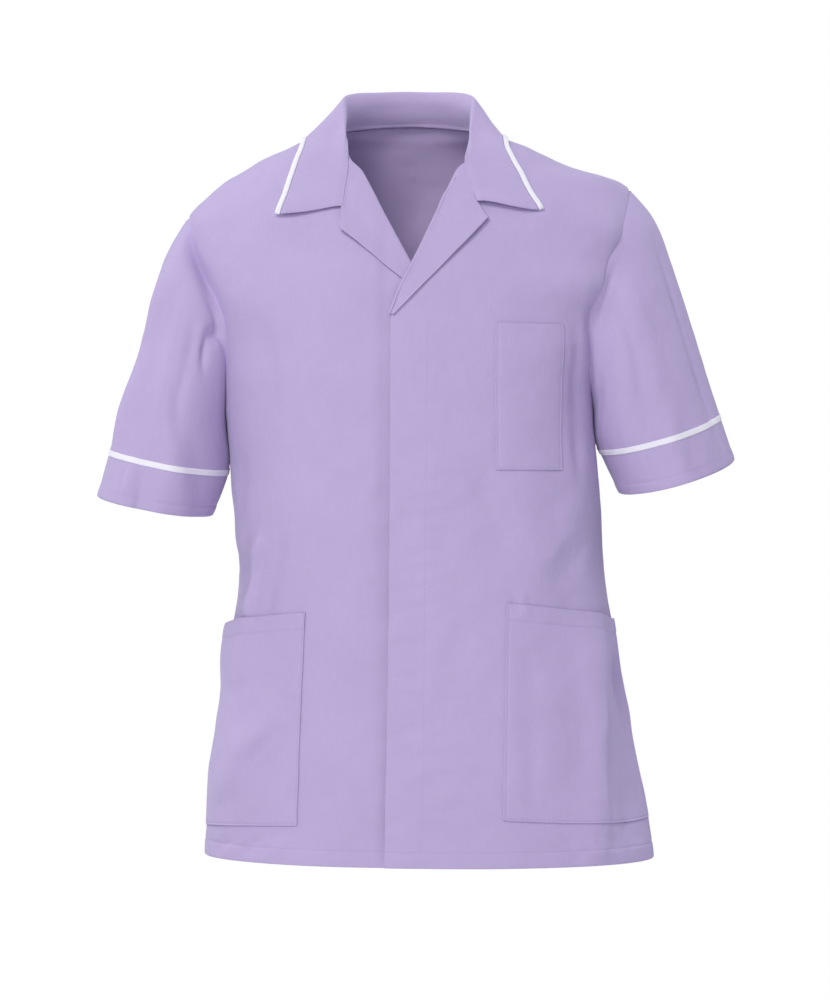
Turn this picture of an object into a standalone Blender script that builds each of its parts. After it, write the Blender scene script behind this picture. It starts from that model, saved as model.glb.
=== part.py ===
# Short-sleeved healthcare tunic, filled out as worn, with nobody in it.
#
# Metres, +Z up. The front faces -Y, so +X is the wearer's left.
# The origin lies midway between the two points where neck and shoulder seams meet.
# Tables are in millimetres; MM turns them into metres when a mesh is made.

import bpy
import numpy as np

MM = 0.001

PANEL_WALL = 1.4        # body, sleeves: cloth with its seam and hem layers
COLLAR_WALL = 1.6       # two layers and interlining
REVERS_WALL = 1.5
POCKET_WALL = 1.1
SEAM_GAP = 0.3          # between pieces that are sewn together
LIE_GAP = 0.35          # between pieces that lie on one another
POCKET_GAP = 0.8        # between a front and the pocket on it

OVERLAP = 21.0          # front edge to centre line
UNDERLAP_DROP = 4.8     # how far the right front lies inside the left one
UNDERLAP_FADE = 55.0    # width over which the right front comes back out

SLEEVE_SEAM_GAP = 1.6   # sleeve's start to the armhole seam, mid wall to mid wall
SLEEVE_ON_TOP = 2.4     # how far it laps over the body under the arm
BRAID_WIDTH = 6.0
BRAID_THICK = 0.9
BRAID_HEIGHT = 46.0     # hem to the braid's middle, along the sleeve
PIPING_WIDTH = 5.5
PIPING_THICK = 2.6
LEAF_LIFT = 4.0         # collar leaf above the shoulder
HOLLOW = 18.0           # how far the sleeve's front and back are drawn in at the armhole
SLEEVE_MID = 2.0        # centre of the sleeve behind the shoulder line, at its top
REVERS_PUFF = 2.0       # soft roll beside the break line
REVERS_LIFT = 1.2       # outer edge of the revers off the front
ROLL_OVER = 2.2         # how far the revers rolls past the front's edge
ROLL_TUCK = 0.2         # how far its turned edge reaches in behind the front's face
ROLL_SETTLE = 0.8       # lift of the revers on its roll, as a share of its lift elsewhere
PUFF_AT = 0.16          # where the soft roll is highest, as a share of the width
TUCK_UNDER = 6.0        # the lower revers lies flat this near the left front's edge
TUCK_FADE = 30.0        # and rises to its full roll over this width

ROLL_RADIUS = 3.0
FULL_ROLL_STAND = 14.0  # stand height from which the collar's roll is full
STAND_SEAM_GAP = 1.6    # stand's start above the neck seam
FLAT_STAND = 0.4        # stand's middle between fold and neck where the collar lies flat
FLAT_FALL = 0.08        # start of the fall towards the leaf edge there
FALL_BULGE = 3.0
LEAF_BELLY = 1.0        # how far the leaf's lower edge bows down
FALL_SPACING = 1.35     # mesh rows crowd towards the roll

FOLD_STRAIGHT = 0.3     # half of the share of a fold that has its full height
FOLD_TAPER = 3.2        # how fast a fold dies away past that
BACK_HOLLOW = 0.6       # hollow of the sleeve's back beside that of its front
ROW_RISE = 30.0         # mesh rows climb this much from front edge to underarm
POCKET_SIDE_GAP = 2.0   # pocket edge to side seam
POCKET_GAPE_RIGHT = 6.0
POCKET_GAPE_LEFT = 2.0
GAPE_REACH = 70.0       # depth below the mouth over which a gaping pocket closes
GAPE_START = 0.2        # share of the mouth that stays on the front
LILAC = (0.51, 0.42, 0.66)
WHITE = (0.9, 0.9, 0.9)

# Level sections of the body, from hem to neck. right and left are the edges of the
# section on the wearer's right (-X) and left (+X); power rounds (2) or squares it.
BODY_COLUMNS = ("z", "right", "left", "front", "back", "mid", "power", "turn")
BODY_SECTIONS = (
    (-740, -208, 245, 143, 140, 0, 2.10, 8.0),
    (-668, -201, 234, 140, 136, 0, 2.10, 7.7),
    (-620, -196, 224, 137, 133, 0, 2.10, 7.5),
    (-572, -190, 216, 134, 129, 0, 2.10, 7.0),
    (-524, -183, 207, 131, 124, 0, 2.15, 6.5),
    (-476, -175, 198, 128, 118, 0, 2.15, 6.0),
    (-428, -172, 192, 126, 115, 0, 2.20, 5.0),
    (-380, -176, 189, 126, 116, 0, 2.20, 3.5),
    (-329, -180, 185, 127, 120, 0, 2.20, 2.0),
    (-275, -184, 182, 127, 125, 0, 2.25, 1.0),
    (-235, -188, 186, 127, 127, 0, 2.25, 0.0),
    (-193, -199, 197, 125, 127, 0, 2.25, 0.0),
    (-145, -214, 211, 119, 123, 1, 2.25, 0.0),
    (-115, -222, 222, 109, 118, 2, 2.20, 0.0),
    (-88, -220, 227, 98, 113, 3, 2.20, 0.0),
    (-72, -204, 224, 88, 109, 4, 2.20, 0.0),
    (-57, -187, 214, 78, 104, 5, 2.20, 0.0),
    (-44, -166, 173, 70, 99, 5, 2.20, 0.0),
    (-32, -147, 143, 62, 94, 5, 2.20, 0.0),
    (-20, -119, 116, 50, 88, 5, 2.15, 0.0),
    (-11, -97, 91, 38, 84, 5, 2.10, 0.0),
    (-3, -74, 73, 28, 80, 5, 2.05, 0.0),
    (6, -67, 67, 22, 76, 5, 2.00, 0.0),
    (14, -60, 60, 18, 71, 5, 2.00, 0.0),
)

HEM_Z = -726.0

# Seam and edge lines on the body, as (x, z) seen from the front.
BREAK_LEFT = ((-19, -193.5), (-3.5, -158), (3.5, -145), (30, -90), (53, -41))
BREAK_RIGHT = ((19, -186), (0.5, -145), (-23.5, -101), (-46, -57), (-60, -33))
FRONT_NECK_LEFT = ((53, -41), (57, -26), (62.5, -13), (73, -3))
FRONT_NECK_RIGHT = ((-60, -33), (-61.5, -24), (-66, -13), (-74, -3))
FRONT_EDGE_LEFT = ((-25, HEM_Z), (-23.5, -650), (-20.5, -450), (-19, -193.5))
FRONT_EDGE_RIGHT = ((18, HEM_Z), (18, -650), (20, -450), (19, -186))
BACK_NECK = ((-74, -3), (-60, 1), (-35, 6.5), (0, 9), (35, 6.5), (60, 1), (73, -3))

ARMHOLE_FRONT_LEFT = ((182, -275), (178, -245), (177, -215), (178, -185), (181, -168),
                      (185, -150), (192, -130), (203, -112), (211, -94), (217, -75), (219, -59))
ARMHOLE_BACK_LEFT = ((219, -59), (213, -80), (205, -110), (198, -140), (190, -170),
                     (184.5, -205), (181, -240), (182, -275))
ARMHOLE_FRONT_RIGHT = ((-184, -275), (-182, -245), (-182, -215), (-184, -195), (-188, -182),
                       (-194, -168), (-202, -153), (-209, -136), (-215, -115), (-220, -88))
ARMHOLE_BACK_RIGHT = ((-220, -88), (-214, -108), (-207, -130), (-200, -155), (-192, -180),
                      (-186.5, -210), (-185, -242), (-184, -275))

# Sleeve sections from armhole to hem. at is the share of the sleeve's length; the
# outer and inner points lie over and under the arm; front and back are depths, and
# dip is how much lower the front of the section hangs.
SLEEVE_COLUMNS = ("at", "outer_x", "outer_z", "inner_x", "inner_z", "front", "back", "dip")
SLEEVE_LEFT = (
    (0.10, 241, -80, 185, -282, 66, 70, 0),
    (0.25, 252, -116, 187.5, -290, 70, 73, 2),
    (0.50, 274, -190, 191, -309, 71, 74, 5),
    (0.75, 298, -258, 197.5, -333, 70, 72, 8),
    (1.00, 323, -331, 209, -364, 68, 70, 10),
)
SLEEVE_RIGHT = (
    (0.10, -236, -114, -187, -284, 66, 70, 0),
    (0.25, -251, -150, -187, -294, 70, 73, 1),
    (0.50, -270, -222, -187, -315, 71, 74, 3),
    (0.75, -290, -293, -190, -346, 70, 72, 4),
    (1.00, -312, -367, -198, -387, 68, 70, 6),
)

# Collar stations from each front end to the centre back. fold is the collar's upper
# edge, neck its seam, leaf its loose edge on the body. flat is 1 where the collar lies
# on the front, so that heights come from the body, and 0 where it stands up.
COLLAR_COLUMNS = ("fold_x", "fold_y", "fold_z", "neck_x", "neck_y", "neck_z",
                  "leaf_x", "leaf_y", "flat")
COLLAR_RIGHT = (
    (-67.2, -91, -87, -65.0, -91, -87, -125.0, -84.8, 1.0),
    (-65.0, -75, -66, -62.8, -75, -66, -119.4, -74.3, 1.0),
    (-62.7, -62, -46, -60.4, -62, -46, -114.5, -60.0, 1.0),
    (-62.5, -54, -31.5, -60.5, -54, -34, -111.0, -52.4, 0.7),
    (-64.0, -43, -18, -61.5, -45, -24, -107.5, -45.2, 0.35),
    (-63.5, -25, -2, -66.0, -27, -13, -104.0, -34.0, 0.1),
    (-63.5, -8, 13, -72.0, -10, -5.5, -101.5, -14.0, 0.0),
    (-64.0, 6, 26, -73.5, 6, -2.5, -100.0, 6.0, 0.0),
    (-61.0, 25, 35, -68.0, 30, -0.5, -97.0, 36.0, 0.0),
    (-51.0, 41, 39, -56.0, 48, 2.5, -85.0, 60.0, 0.0),
    (-30.0, 55, 41.7, -34.0, 67, 6.7, -49.0, 82.0, 0.0),
)
COLLAR_BACK = (0, 62, 43, 0, 75, 9, 0, 90, 0)
COLLAR_LEFT = (
    (66.8, -90, -84, 64.6, -90, -84, 124.5, -84.2, 1.0),
    (62.2, -78, -68, 60.0, -78, -68, 116.0, -78.0, 1.0),
    (58.2, -68, -52, 56.0, -68, -52, 110.0, -70.3, 1.0),
    (56.0, -58, -37, 53.8, -59, -40, 104.0, -60.8, 0.7),
    (59.5, -45, -20, 57.0, -47, -26, 97.5, -49.0, 0.35),
    (59.0, -25, -3, 62.5, -27, -13, 92.0, -33.0, 0.1),
    (60.0, -8, 12, 69.5, -10, -5.5, 91.0, -14.0, 0.0),
    (61.5, 6, 26, 73.0, 6, -2.5, 89.5, 6.0, 0.0),
    (58.5, 25, 35, 66.0, 30, -0.5, 87.0, 36.0, 0.0),
    (48.5, 41, 39, 54.0, 48, 2.5, 77.0, 60.0, 0.0),
    (28.0, 55, 41.7, 33.0, 67, 6.7, 45.0, 82.0, 0.0),
)

# Revers: break line below, then the gorge seam to the notch, the tip and the lower edge.
REVERS_LEFT = {"foot_z": -191, "gorge": ((52.3, -42), (54.6, -54.5), (57.7, -68), (62.3, -83)),
               "tip": (75.9, -99.3), "lower": ((57, -120), (-10, -188.5))}
REVERS_RIGHT = {"foot_z": -166, "gorge": ((-57.5, -38), (-59, -52), (-61, -70), (-62.6, -85)),
                "tip": (-67.8, -109.9), "lower": ((-36, -134), (4.5, -167))}

# Patch pockets: (x, z) corners from the mouth down; None runs into the side seam.
CHEST_POCKET = {"mouth": ((82, -200.5), (147.5, -200.5)), "base": ((82, -343), (147, -343))}
LOWER_POCKET_LEFT = {"mouth": ((92.9, -471.5), (154, -479), (None, -490)),
                     "base": ((88.8, -680), (182, -685.4), (None, -686))}
LOWER_POCKET_RIGHT = {"mouth": ((-100.9, -481), (-153, -487), (None, -499)),
                      "base": ((-109, -688), (-160, -691), (None, -699))}

# Main folds, seen from the front: a ridge (or trough) between two places.
FOLD_COLUMNS = ("from_x", "from_z", "to_x", "to_z", "width", "height")
FRONT_FOLDS = (
    (-132, -586, -189, -667, 18, 3.0),
    (-150, -420, -158, -490, 18, -2.5),
    (-120, -240, -132, -430, 22, 2.5),
    (-60, -520, -70, -700, 26, 2.5),
    (164, -330, 182, -560, 18, 3.0),
    (199, -470, 213, -650, 16, -2.5),
    (160, -190, 158, -270, 18, -3.0),
    (110, -350, 120, -470, 24, 2.5),
)
BACK_FOLDS = (
    (-62, -330, -74, -610, 26, 4.0),
    (58, -340, 80, -640, 26, 4.0),
    (-8, -420, 4, -600, 22, -3.0),
    (-118, -160, -100, -330, 24, -3.0),
    (112, -150, 104, -320, 24, -3.0),
    (150, -250, 158, -420, 16, 3.0),
    (-148, -250, -140, -430, 16, 3.0),
)


def spline(knots, values, at):
    """Natural cubic spline through (knots, values), read at the given places."""
    knots = np.asarray(knots, float)
    values = np.asarray(values, float)
    count = len(knots)
    step = np.diff(knots)
    slope = np.diff(values, axis=0) / (step if values.ndim == 1 else step[:, None])
    system = np.eye(count)
    right = np.zeros_like(values)
    for row in range(1, count - 1):
        system[row, row - 1] = step[row - 1]
        system[row, row] = 2 * (step[row - 1] + step[row])
        system[row, row + 1] = step[row]
        right[row] = 6 * (slope[row] - slope[row - 1])
    bend = np.linalg.solve(system, right)
    at = np.clip(np.asarray(at, float), knots[0], knots[-1])
    cell = np.clip(np.searchsorted(knots, at) - 1, 0, count - 2)
    width = step[cell]
    near = (at - knots[cell]) / width
    far = 1 - near
    if values.ndim > 1:
        near = near[..., None]
        far = far[..., None]
        width = width[..., None]
    return (far * values[cell] + near * values[cell + 1]
            + width ** 2 / 6 * ((far ** 3 - far) * bend[cell]
                                + (near ** 3 - near) * bend[cell + 1]))


def along(points, count, smooth=True):
    """Count + 1 evenly spaced points along a line through the given ones."""
    points = np.asarray(points, float)
    length = np.r_[0, np.cumsum(np.linalg.norm(np.diff(points, axis=0), axis=1))]
    if smooth and len(points) > 2:
        points = spline(length, points, np.linspace(0, length[-1], 400))
        length = np.r_[0, np.cumsum(np.linalg.norm(np.diff(points, axis=0), axis=1))]
    at = np.linspace(0, length[-1], count + 1)
    return np.stack([np.interp(at, length, column) for column in points.T], axis=1)


def body_table():
    """The body sections, smoothed: one dense column for each name, rising in z."""
    rows = np.array(BODY_SECTIONS, float)
    half = (rows[:, 2] - rows[:, 1]) / 2
    run = np.r_[0, np.cumsum(np.hypot(np.diff(rows[:, 0]), np.diff(half)))]
    dense = spline(run, rows, np.linspace(0, run[-1], 900))
    return dict(zip(BODY_COLUMNS, dense.T))


BODY = body_table()


def section(z):
    """Each body column at height z."""
    return {name: np.interp(z, BODY["z"], BODY[name]) for name in BODY_COLUMNS[1:]}


def body_place(angle, z):
    """Point on the body's smooth form; angle in degrees, 0 front, 90 wearer's left."""
    angle = np.asarray(angle, float)
    row = section(z)
    swing = np.radians(angle)
    side = np.sin(swing)
    ahead = np.cos(swing)
    half = (row["left"] - row["right"]) / 2
    depth = np.where(ahead > 0, row["front"], row["back"])
    grow = (np.abs(side) ** row["power"] + np.abs(ahead) ** row["power"]) ** (-1 / row["power"])
    across = half * side * grow
    deep = -depth * ahead * grow
    turn = np.radians(row["turn"])
    x = (row["left"] + row["right"]) / 2 + across * np.cos(turn) + deep * np.sin(turn)
    y = row["mid"] - across * np.sin(turn) + deep * np.cos(turn)
    return np.stack([x, y, np.broadcast_to(z, x.shape)], axis=-1)


def body_normal(angle, z):
    """Outward unit normal of the body's smooth form."""
    lift = 1.5
    swing = 0.5
    up = body_place(angle, z + lift) - body_place(angle, z - lift)
    around = body_place(angle + swing, z) - body_place(angle - swing, z)
    normal = np.cross(around, up)
    return normal / np.linalg.norm(normal, axis=-1, keepdims=True)


def body_point(angle, z, out=0.0):
    """Point on the body, moved out along the normal by out."""
    angle = np.asarray(angle, float)
    z = np.asarray(z, float)
    return body_place(angle, z) + body_normal(angle, z) * np.asarray(out)[..., None]


def angle_at(x, z, side=1):
    """The angle where the body passes x at height z, on the front (1) or the back (-1)."""
    x = np.asarray(x, float)
    z = np.asarray(z, float)
    low = np.full(x.shape, -92.0) if side > 0 else np.full(x.shape, 272.0)
    high = np.full(x.shape, 92.0) if side > 0 else np.full(x.shape, 88.0)
    for _ in range(34):
        middle = (low + high) / 2
        short = body_place(middle, z)[..., 0] < x
        low = np.where(short, middle, low)
        high = np.where(short, high, middle)
    return (low + high) / 2


def spread(z, side):
    """A quarter section's length at height z, which unrolls angles into widths."""
    row = section(z)
    half = (row["left"] - row["right"]) / 2
    depth = row["front"] if side > 0 else row["back"]
    return (3 * (half + depth) - np.sqrt((3 * half + depth) * (half + 3 * depth))) * np.pi / 4


def unroll(angle, z, side=1):
    """(width, z) of a place on the body, as the panel would lie flat across."""
    turned = angle if side > 0 else 180 - angle
    return np.stack([turned / 90 * spread(z, side), z], axis=-1)


def roll(flat, side=1):
    """The reverse of unroll: angle and z."""
    turned = flat[..., 0] * 90 / spread(flat[..., 1], side)
    return (turned if side > 0 else 180 - turned), flat[..., 1]


def seen_line(points, count, side=1, smooth=True):
    """A line given by (x, z) as seen from the front, unrolled."""
    seen = along(points, 160, smooth)
    flat = unroll(angle_at(seen[:, 0], seen[:, 1], side), seen[:, 1], side)
    return along(flat, count, smooth=False)


def level_line(points, z_from, z_to, count):
    """The stretch of a seen line between two heights, in even steps of height."""
    line = seen_line(points, 200)
    z = np.linspace(z_from, z_to, count + 1)
    return np.stack([np.interp(z, line[:, 1], line[:, 0]), z], axis=-1)


def edge_line(z_from, z_to, count, turned, side=1):
    """A stretch of side or shoulder seam, where the panel ends, unrolled."""
    z = np.linspace(z_from, z_to, count + 1)
    depth = section(z)["front" if side > 0 else "back"]
    angle = 90 - np.degrees(SEAM_GAP / 2 / depth)
    return np.stack([turned * angle / 90 * spread(z, side), z], axis=-1)


def coons(bottom, top, first, last):
    """Grid between four lines: rows follow first and last, columns bottom and top."""
    u = np.linspace(0, 1, len(bottom))[:, None, None]
    v = np.linspace(0, 1, len(first))[None, :, None]
    corners = ((1 - u) * (1 - v) * bottom[0] + u * (1 - v) * bottom[-1]
               + (1 - u) * v * top[0] + u * v * top[-1])
    return ((1 - v) * bottom[:, None] + v * top[:, None]
            + (1 - u) * first[None] + u * last[None] - corners)


def join(*lines):
    """Lines joined end to end, with the shared points once."""
    return np.concatenate([lines[0]] + [line[1:] for line in lines[1:]])


def grid_normal(grid, ring=False):
    """Unit normals of a grid of points; ring if its first index closes."""
    if ring:
        across = np.roll(grid, -1, 0) - np.roll(grid, 1, 0)
    else:
        across = np.gradient(grid, axis=0)
    normal = np.cross(across, np.gradient(grid, axis=1))
    return normal / np.linalg.norm(normal, axis=-1, keepdims=True)


def wall_mesh(grid, wall, ring=False, normal=None):
    """Vertices and faces of a closed wall of even thickness round a grid of points."""
    columns, rows = grid.shape[:2]
    if normal is None:
        normal = grid_normal(grid, ring)
    outer = (grid + normal * wall / 2).reshape(-1, 3)
    inner = (grid - normal * wall / 2).reshape(-1, 3)
    index = np.arange(columns * rows).reshape(columns, rows)
    if ring:
        index = np.concatenate([index, index[:1]])
    quads = np.stack([index[:-1, :-1], index[1:, :-1], index[1:, 1:], index[:-1, 1:]], -1)
    quads = quads.reshape(-1, 4)
    shift = columns * rows
    faces = [quads, quads[:, ::-1] + shift]
    ends = [index[:, 0], index[::-1, -1]]
    if not ring:
        ends += [index[-1, :], index[0, ::-1]]
    for line in ends:
        rim = np.stack([line[:-1], line[:-1] + shift, line[1:] + shift, line[1:]], -1)
        faces.append(rim)
    return np.concatenate([outer, inner]), np.concatenate(faces)


def material(name, colour, roughness):
    """A plain cloth finish."""
    made = bpy.data.materials.new(name)
    made.use_nodes = True
    shader = made.node_tree.nodes["Principled BSDF"]
    shader.inputs["Base Color"].default_value = (*colour, 1)
    shader.inputs["Roughness"].default_value = roughness
    shader.inputs["Metallic"].default_value = 0
    return made


def add_piece(name, mesh_data, finish):
    """A smooth-shaded object from vertices in millimetres and faces."""
    points, faces = mesh_data
    mesh = bpy.data.meshes.new(name)
    mesh.from_pydata((points * MM).tolist(), [], [list(face) for face in faces])
    mesh.validate()
    mesh.polygons.foreach_set("use_smooth", [True] * len(mesh.polygons))
    mesh.materials.append(finish)
    mesh.update()
    piece = bpy.data.objects.new(name, mesh)
    bpy.context.scene.collection.objects.link(piece)
    return piece


def fold_height(points, table):
    """How far the folds of a table push the cloth out at these body points."""
    place = points[..., (0, 2)]
    total = np.zeros(place.shape[:-1])
    for row in table:
        fold = dict(zip(FOLD_COLUMNS, row))
        start = np.array([fold["from_x"], fold["from_z"]], float)
        run = np.array([fold["to_x"], fold["to_z"]], float) - start
        length = np.linalg.norm(run)
        rel = place - start
        ahead = rel @ run / length
        aside = rel @ np.array([-run[1], run[0]]) / length
        share = np.clip(ahead / length, -1, 2)
        past = np.maximum(np.abs(share - 0.5) - FOLD_STRAIGHT, 0)
        ends = np.exp(-(past * FOLD_TAPER) ** 2)
        total += fold["height"] * np.exp(-(aside / fold["width"]) ** 2) * ends
    return total


def ease(value):
    """0 to 1, level at both ends."""
    value = np.clip(value, 0, 1)
    return value * value * (3 - 2 * value)


def front_out(angle, z, turned):
    """How far the front's cloth lies out from the body's smooth form."""
    points = body_place(angle, z)
    out = fold_height(points, FRONT_FOLDS)
    if turned < 0:
        inside = ease((points[..., 0] + OVERLAP + UNDERLAP_FADE) / UNDERLAP_FADE)
        out = out - UNDERLAP_DROP * inside
    return out


def front_surface(flat, turned, lift=0.0):
    """Points on a front panel, from an unrolled grid, moved out by lift."""
    angle, z = roll(flat)
    return body_point(angle, z, front_out(angle, z, turned) + lift)


def facing_out(grid, turned):
    """Grids run towards the wearer's left, so that their faces look outwards."""
    return grid if turned > 0 else grid[::-1]


def front_panel(turned):
    """One front: front edge, break line, neck, shoulder, armhole, side seam, hem."""
    left = turned > 0
    edge = FRONT_EDGE_LEFT if left else FRONT_EDGE_RIGHT
    neck = FRONT_NECK_LEFT if left else FRONT_NECK_RIGHT
    armhole = ARMHOLE_FRONT_LEFT if left else ARMHOLE_FRONT_RIGHT
    underarm_z = armhole[0][1]
    top = along(edge_line(neck[-1][1], armhole[-1][1], 60, turned), 18, smooth=False)
    level = underarm_z - ROW_RISE
    first = join(level_line(edge, HEM_Z, level, 17), level_line(edge, level, edge[-1][1], 3),
                 seen_line(BREAK_LEFT if left else BREAK_RIGHT, 5), seen_line(neck, 2))
    side = join(edge_line(HEM_Z, underarm_z, 17, turned), seen_line(armhole, 10))
    first[-1] = top[0]
    side[-1] = top[-1]
    bottom = np.linspace(first[0], side[0], len(top))
    flat = facing_out(coons(bottom, top, first, side), turned)
    return front_surface(flat, turned), body_normal(*roll(flat))


def back_panel():
    """The back, from the left side seam round to the right one."""
    left_tip = ARMHOLE_BACK_LEFT[0][1]
    right_tip = ARMHOLE_BACK_RIGHT[0][1]
    underarm = ARMHOLE_BACK_LEFT[-1][1]
    neck_z = BACK_NECK[0][1]
    top = join(along(edge_line(left_tip, neck_z, 60, 1, -1), 7, smooth=False),
               seen_line(BACK_NECK[::-1], 12, -1),
               along(edge_line(neck_z, right_tip, 60, -1, -1), 7, smooth=False))
    first = join(edge_line(HEM_Z, underarm, 17, 1, -1),
                 seen_line(ARMHOLE_BACK_LEFT[::-1], 9, -1))
    last = join(edge_line(HEM_Z, underarm, 17, -1, -1),
                seen_line(ARMHOLE_BACK_RIGHT[::-1], 9, -1))
    first[-1] = top[0]
    last[-1] = top[-1]
    bottom = np.linspace(first[0], last[0], len(top))
    angle, z = roll(coons(bottom, top, first, last), -1)
    out = fold_height(body_place(angle, z), BACK_FOLDS)
    return body_point(angle, z, out), body_normal(angle, z)


def armhole_loop(turned, count):
    """The armhole seam in space: tip, down the front, underarm, up the back."""
    front = ARMHOLE_FRONT_LEFT if turned > 0 else ARMHOLE_FRONT_RIGHT
    back = ARMHOLE_BACK_LEFT if turned > 0 else ARMHOLE_BACK_RIGHT
    halves = []
    for line, side in ((front[::-1], 1), (back[::-1], -1)):
        angle, z = roll(seen_line(line, 200, side), side)
        if side > 0:
            out = front_out(angle, z, turned)
            under = np.linspace(0, 1, len(z))
        else:
            out = fold_height(body_place(angle, z), BACK_FOLDS)
            under = np.linspace(1, 0, len(z))
        path = body_point(angle, z, out + SLEEVE_ON_TOP * ease(under))
        halves.append(along(path, count // 2, smooth=False))
    loop = np.concatenate([halves[0][:-1], halves[1][:-1]])
    loop[0] = (halves[0][0] + halves[1][-1]) / 2
    loop[count // 2] = (halves[0][-1] + halves[1][0]) / 2
    return loop


def sleeve_grid(turned, count=32, rows=12):
    """One sleeve: a spline from each armhole point through the sleeve's sections."""
    table = SLEEVE_LEFT if turned > 0 else SLEEVE_RIGHT
    swing = np.linspace(0, 2 * np.pi, count, endpoint=False)
    over = np.cos(swing)
    ahead = np.sin(swing)
    stations = [armhole_loop(turned, count)]
    places = [0.0]
    for row in table:
        part = dict(zip(SLEEVE_COLUMNS, row))
        outer = np.array([part["outer_x"], part["outer_z"]], float)
        inner = np.array([part["inner_x"], part["inner_z"]], float)
        middle = (outer + inner) / 2
        reach = (outer - inner) / 2
        depth = np.where(ahead > 0, part["front"], part["back"])
        hollow = HOLLOW * (1 - part["at"]) ** 2 * np.where(ahead > 0, 1.0, BACK_HOLLOW)
        x = middle[0] + reach[0] * over - turned * hollow * ahead ** 2
        z = middle[1] + reach[1] * over - part["dip"] * ahead
        stations.append(np.stack([x, SLEEVE_MID * (1 - part["at"]) - depth * ahead, z], -1))
        places.append(part["at"])
    stations = np.stack(stations)
    length = np.linalg.norm(np.diff(stations, axis=0), axis=-1).sum(axis=0)
    columns = []
    for index in range(count):
        start = SLEEVE_SEAM_GAP / length[index]
        at = start + (1 - start) * np.linspace(0, 1, rows + 1)
        columns.append(spline(places, stations[:, index], at))
    return facing_out(np.stack(columns), turned)


def braid_grid(sleeve):
    """A flat band round the sleeve, a fixed way up from its hem."""
    normal = grid_normal(sleeve, ring=True)
    band = []
    for points, facing in zip(sleeve, normal):
        run = np.linalg.norm(np.diff(points[::-1], axis=0), axis=1)
        height = np.r_[0, np.cumsum(run)]
        wanted = BRAID_HEIGHT + np.array([0.5, -0.5]) * BRAID_WIDTH
        place = np.stack([np.interp(wanted, height, part) for part in points[::-1].T], -1)
        out = np.stack([np.interp(wanted, height, part) for part in facing[::-1].T], -1)
        lift = PANEL_WALL / 2 + LIE_GAP + BRAID_THICK / 2
        band.append(place + out * lift)
    return np.stack(band)


def on_body(x, y, lift):
    """Point of the shoulders or chest over a place in plan, moved out by lift."""
    x = np.asarray(x, float)
    y = np.asarray(y, float)
    low = np.full(x.shape, -150.0)
    high = np.full(x.shape, BODY["z"][-1])
    for _ in range(34):
        z = (low + high) / 2
        row = section(z)
        half = (row["left"] - row["right"]) / 2
        across = (x - (row["left"] + row["right"]) / 2) / half
        deep = (y - row["mid"]) / np.where(y < row["mid"], row["front"], row["back"])
        inside = np.abs(across) ** row["power"] + np.abs(deep) ** row["power"] < 1
        low = np.where(inside, z, low)
        high = np.where(inside, high, z)
    angle = np.degrees(np.arctan2(across, -deep))
    return body_point(angle, z, np.full(x.shape, lift))


def on_front(points):
    """The collar leaf's place on the front where each point is seen."""
    x = points[..., 0]
    z = points[..., 2]
    normal = body_normal(angle_at(x, z), z)
    x = x - normal[..., 0] * LEAF_LIFT
    z = z - normal[..., 2] * LEAF_LIFT
    return body_point(angle_at(x, z), z, np.full(z.shape, LEAF_LIFT))


def collar_stations(count):
    """Fold, neck seam, leaf edge and flatness at even steps round the collar."""
    rows = np.array(COLLAR_RIGHT + (COLLAR_BACK,) + COLLAR_LEFT[::-1], float)
    run = np.linalg.norm(np.diff(rows[:, :8], axis=0), axis=1)
    run = np.r_[0, np.cumsum(run)]
    rows = spline(run, rows, np.linspace(0, run[-1], count + 1))
    flat = np.clip(rows[:, 8:9], 0, 1)
    leaf = on_body(rows[:, 6], rows[:, 7], LEAF_LIFT)
    fold = flat * on_body(rows[:, 0], rows[:, 1], LEAF_LIFT) + (1 - flat) * rows[:, 0:3]
    neck = flat * on_body(rows[:, 3], rows[:, 4], LEAF_LIFT) + (1 - flat) * rows[:, 3:6]
    return fold, neck, leaf, flat


def collar_grid(count=44, stand_rows=3, fall_rows=8):
    """Stand up from the neck seam, over the roll and down to the leaf edge."""
    fold, neck, leaf, flat = collar_stations(count)
    stand = fold - neck
    up = stand / np.linalg.norm(stand, axis=1, keepdims=True)
    neck = neck + up * STAND_SEAM_GAP * (1 - flat)
    path = np.gradient(fold, axis=0)
    out = np.cross((0, 0, 1), path)
    out = out / np.linalg.norm(out, axis=1, keepdims=True)
    tall = np.linalg.norm(stand, axis=1, keepdims=True)
    roll_size = ROLL_RADIUS * (1 - flat) * ease(tall / FULL_ROLL_STAND)
    shoulder_in = fold - up * roll_size + (neck - fold) * FLAT_STAND * flat
    top = fold + out * roll_size
    shoulder_out = (fold - up * roll_size + out * 2 * roll_size
                    + (leaf - fold) * FLAT_FALL * flat)
    middle = (shoulder_out + leaf) / 2
    middle = flat * on_front(middle - (0, 0, LEAF_BELLY)) + (1 - flat) * (middle + out * FALL_BULGE)
    lines = np.stack([neck, shoulder_in, top, shoulder_out, middle, leaf], axis=1)
    grid = []
    for line in lines:
        length = np.r_[0, np.cumsum(np.linalg.norm(np.diff(line, axis=0), axis=1))]
        fall_at = np.linspace(0, 1, fall_rows + 1)[1:] ** FALL_SPACING
        at = np.r_[np.linspace(0, length[2], stand_rows + 1),
                   length[2] + (length[-1] - length[2]) * fall_at]
        grid.append(spline(length, line, at))
    grid = np.stack(grid)
    fall = grid[:, stand_rows + 1:-1]
    resting = on_body(fall[..., 0], fall[..., 1], LEAF_LIFT)
    raised = fall.copy()
    raised[..., 2] += np.maximum(resting[..., 2] - fall[..., 2], 0)
    flat = flat[:, None]
    fall[:] = flat * on_front(fall) + (1 - flat) * raised
    return grid


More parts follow.
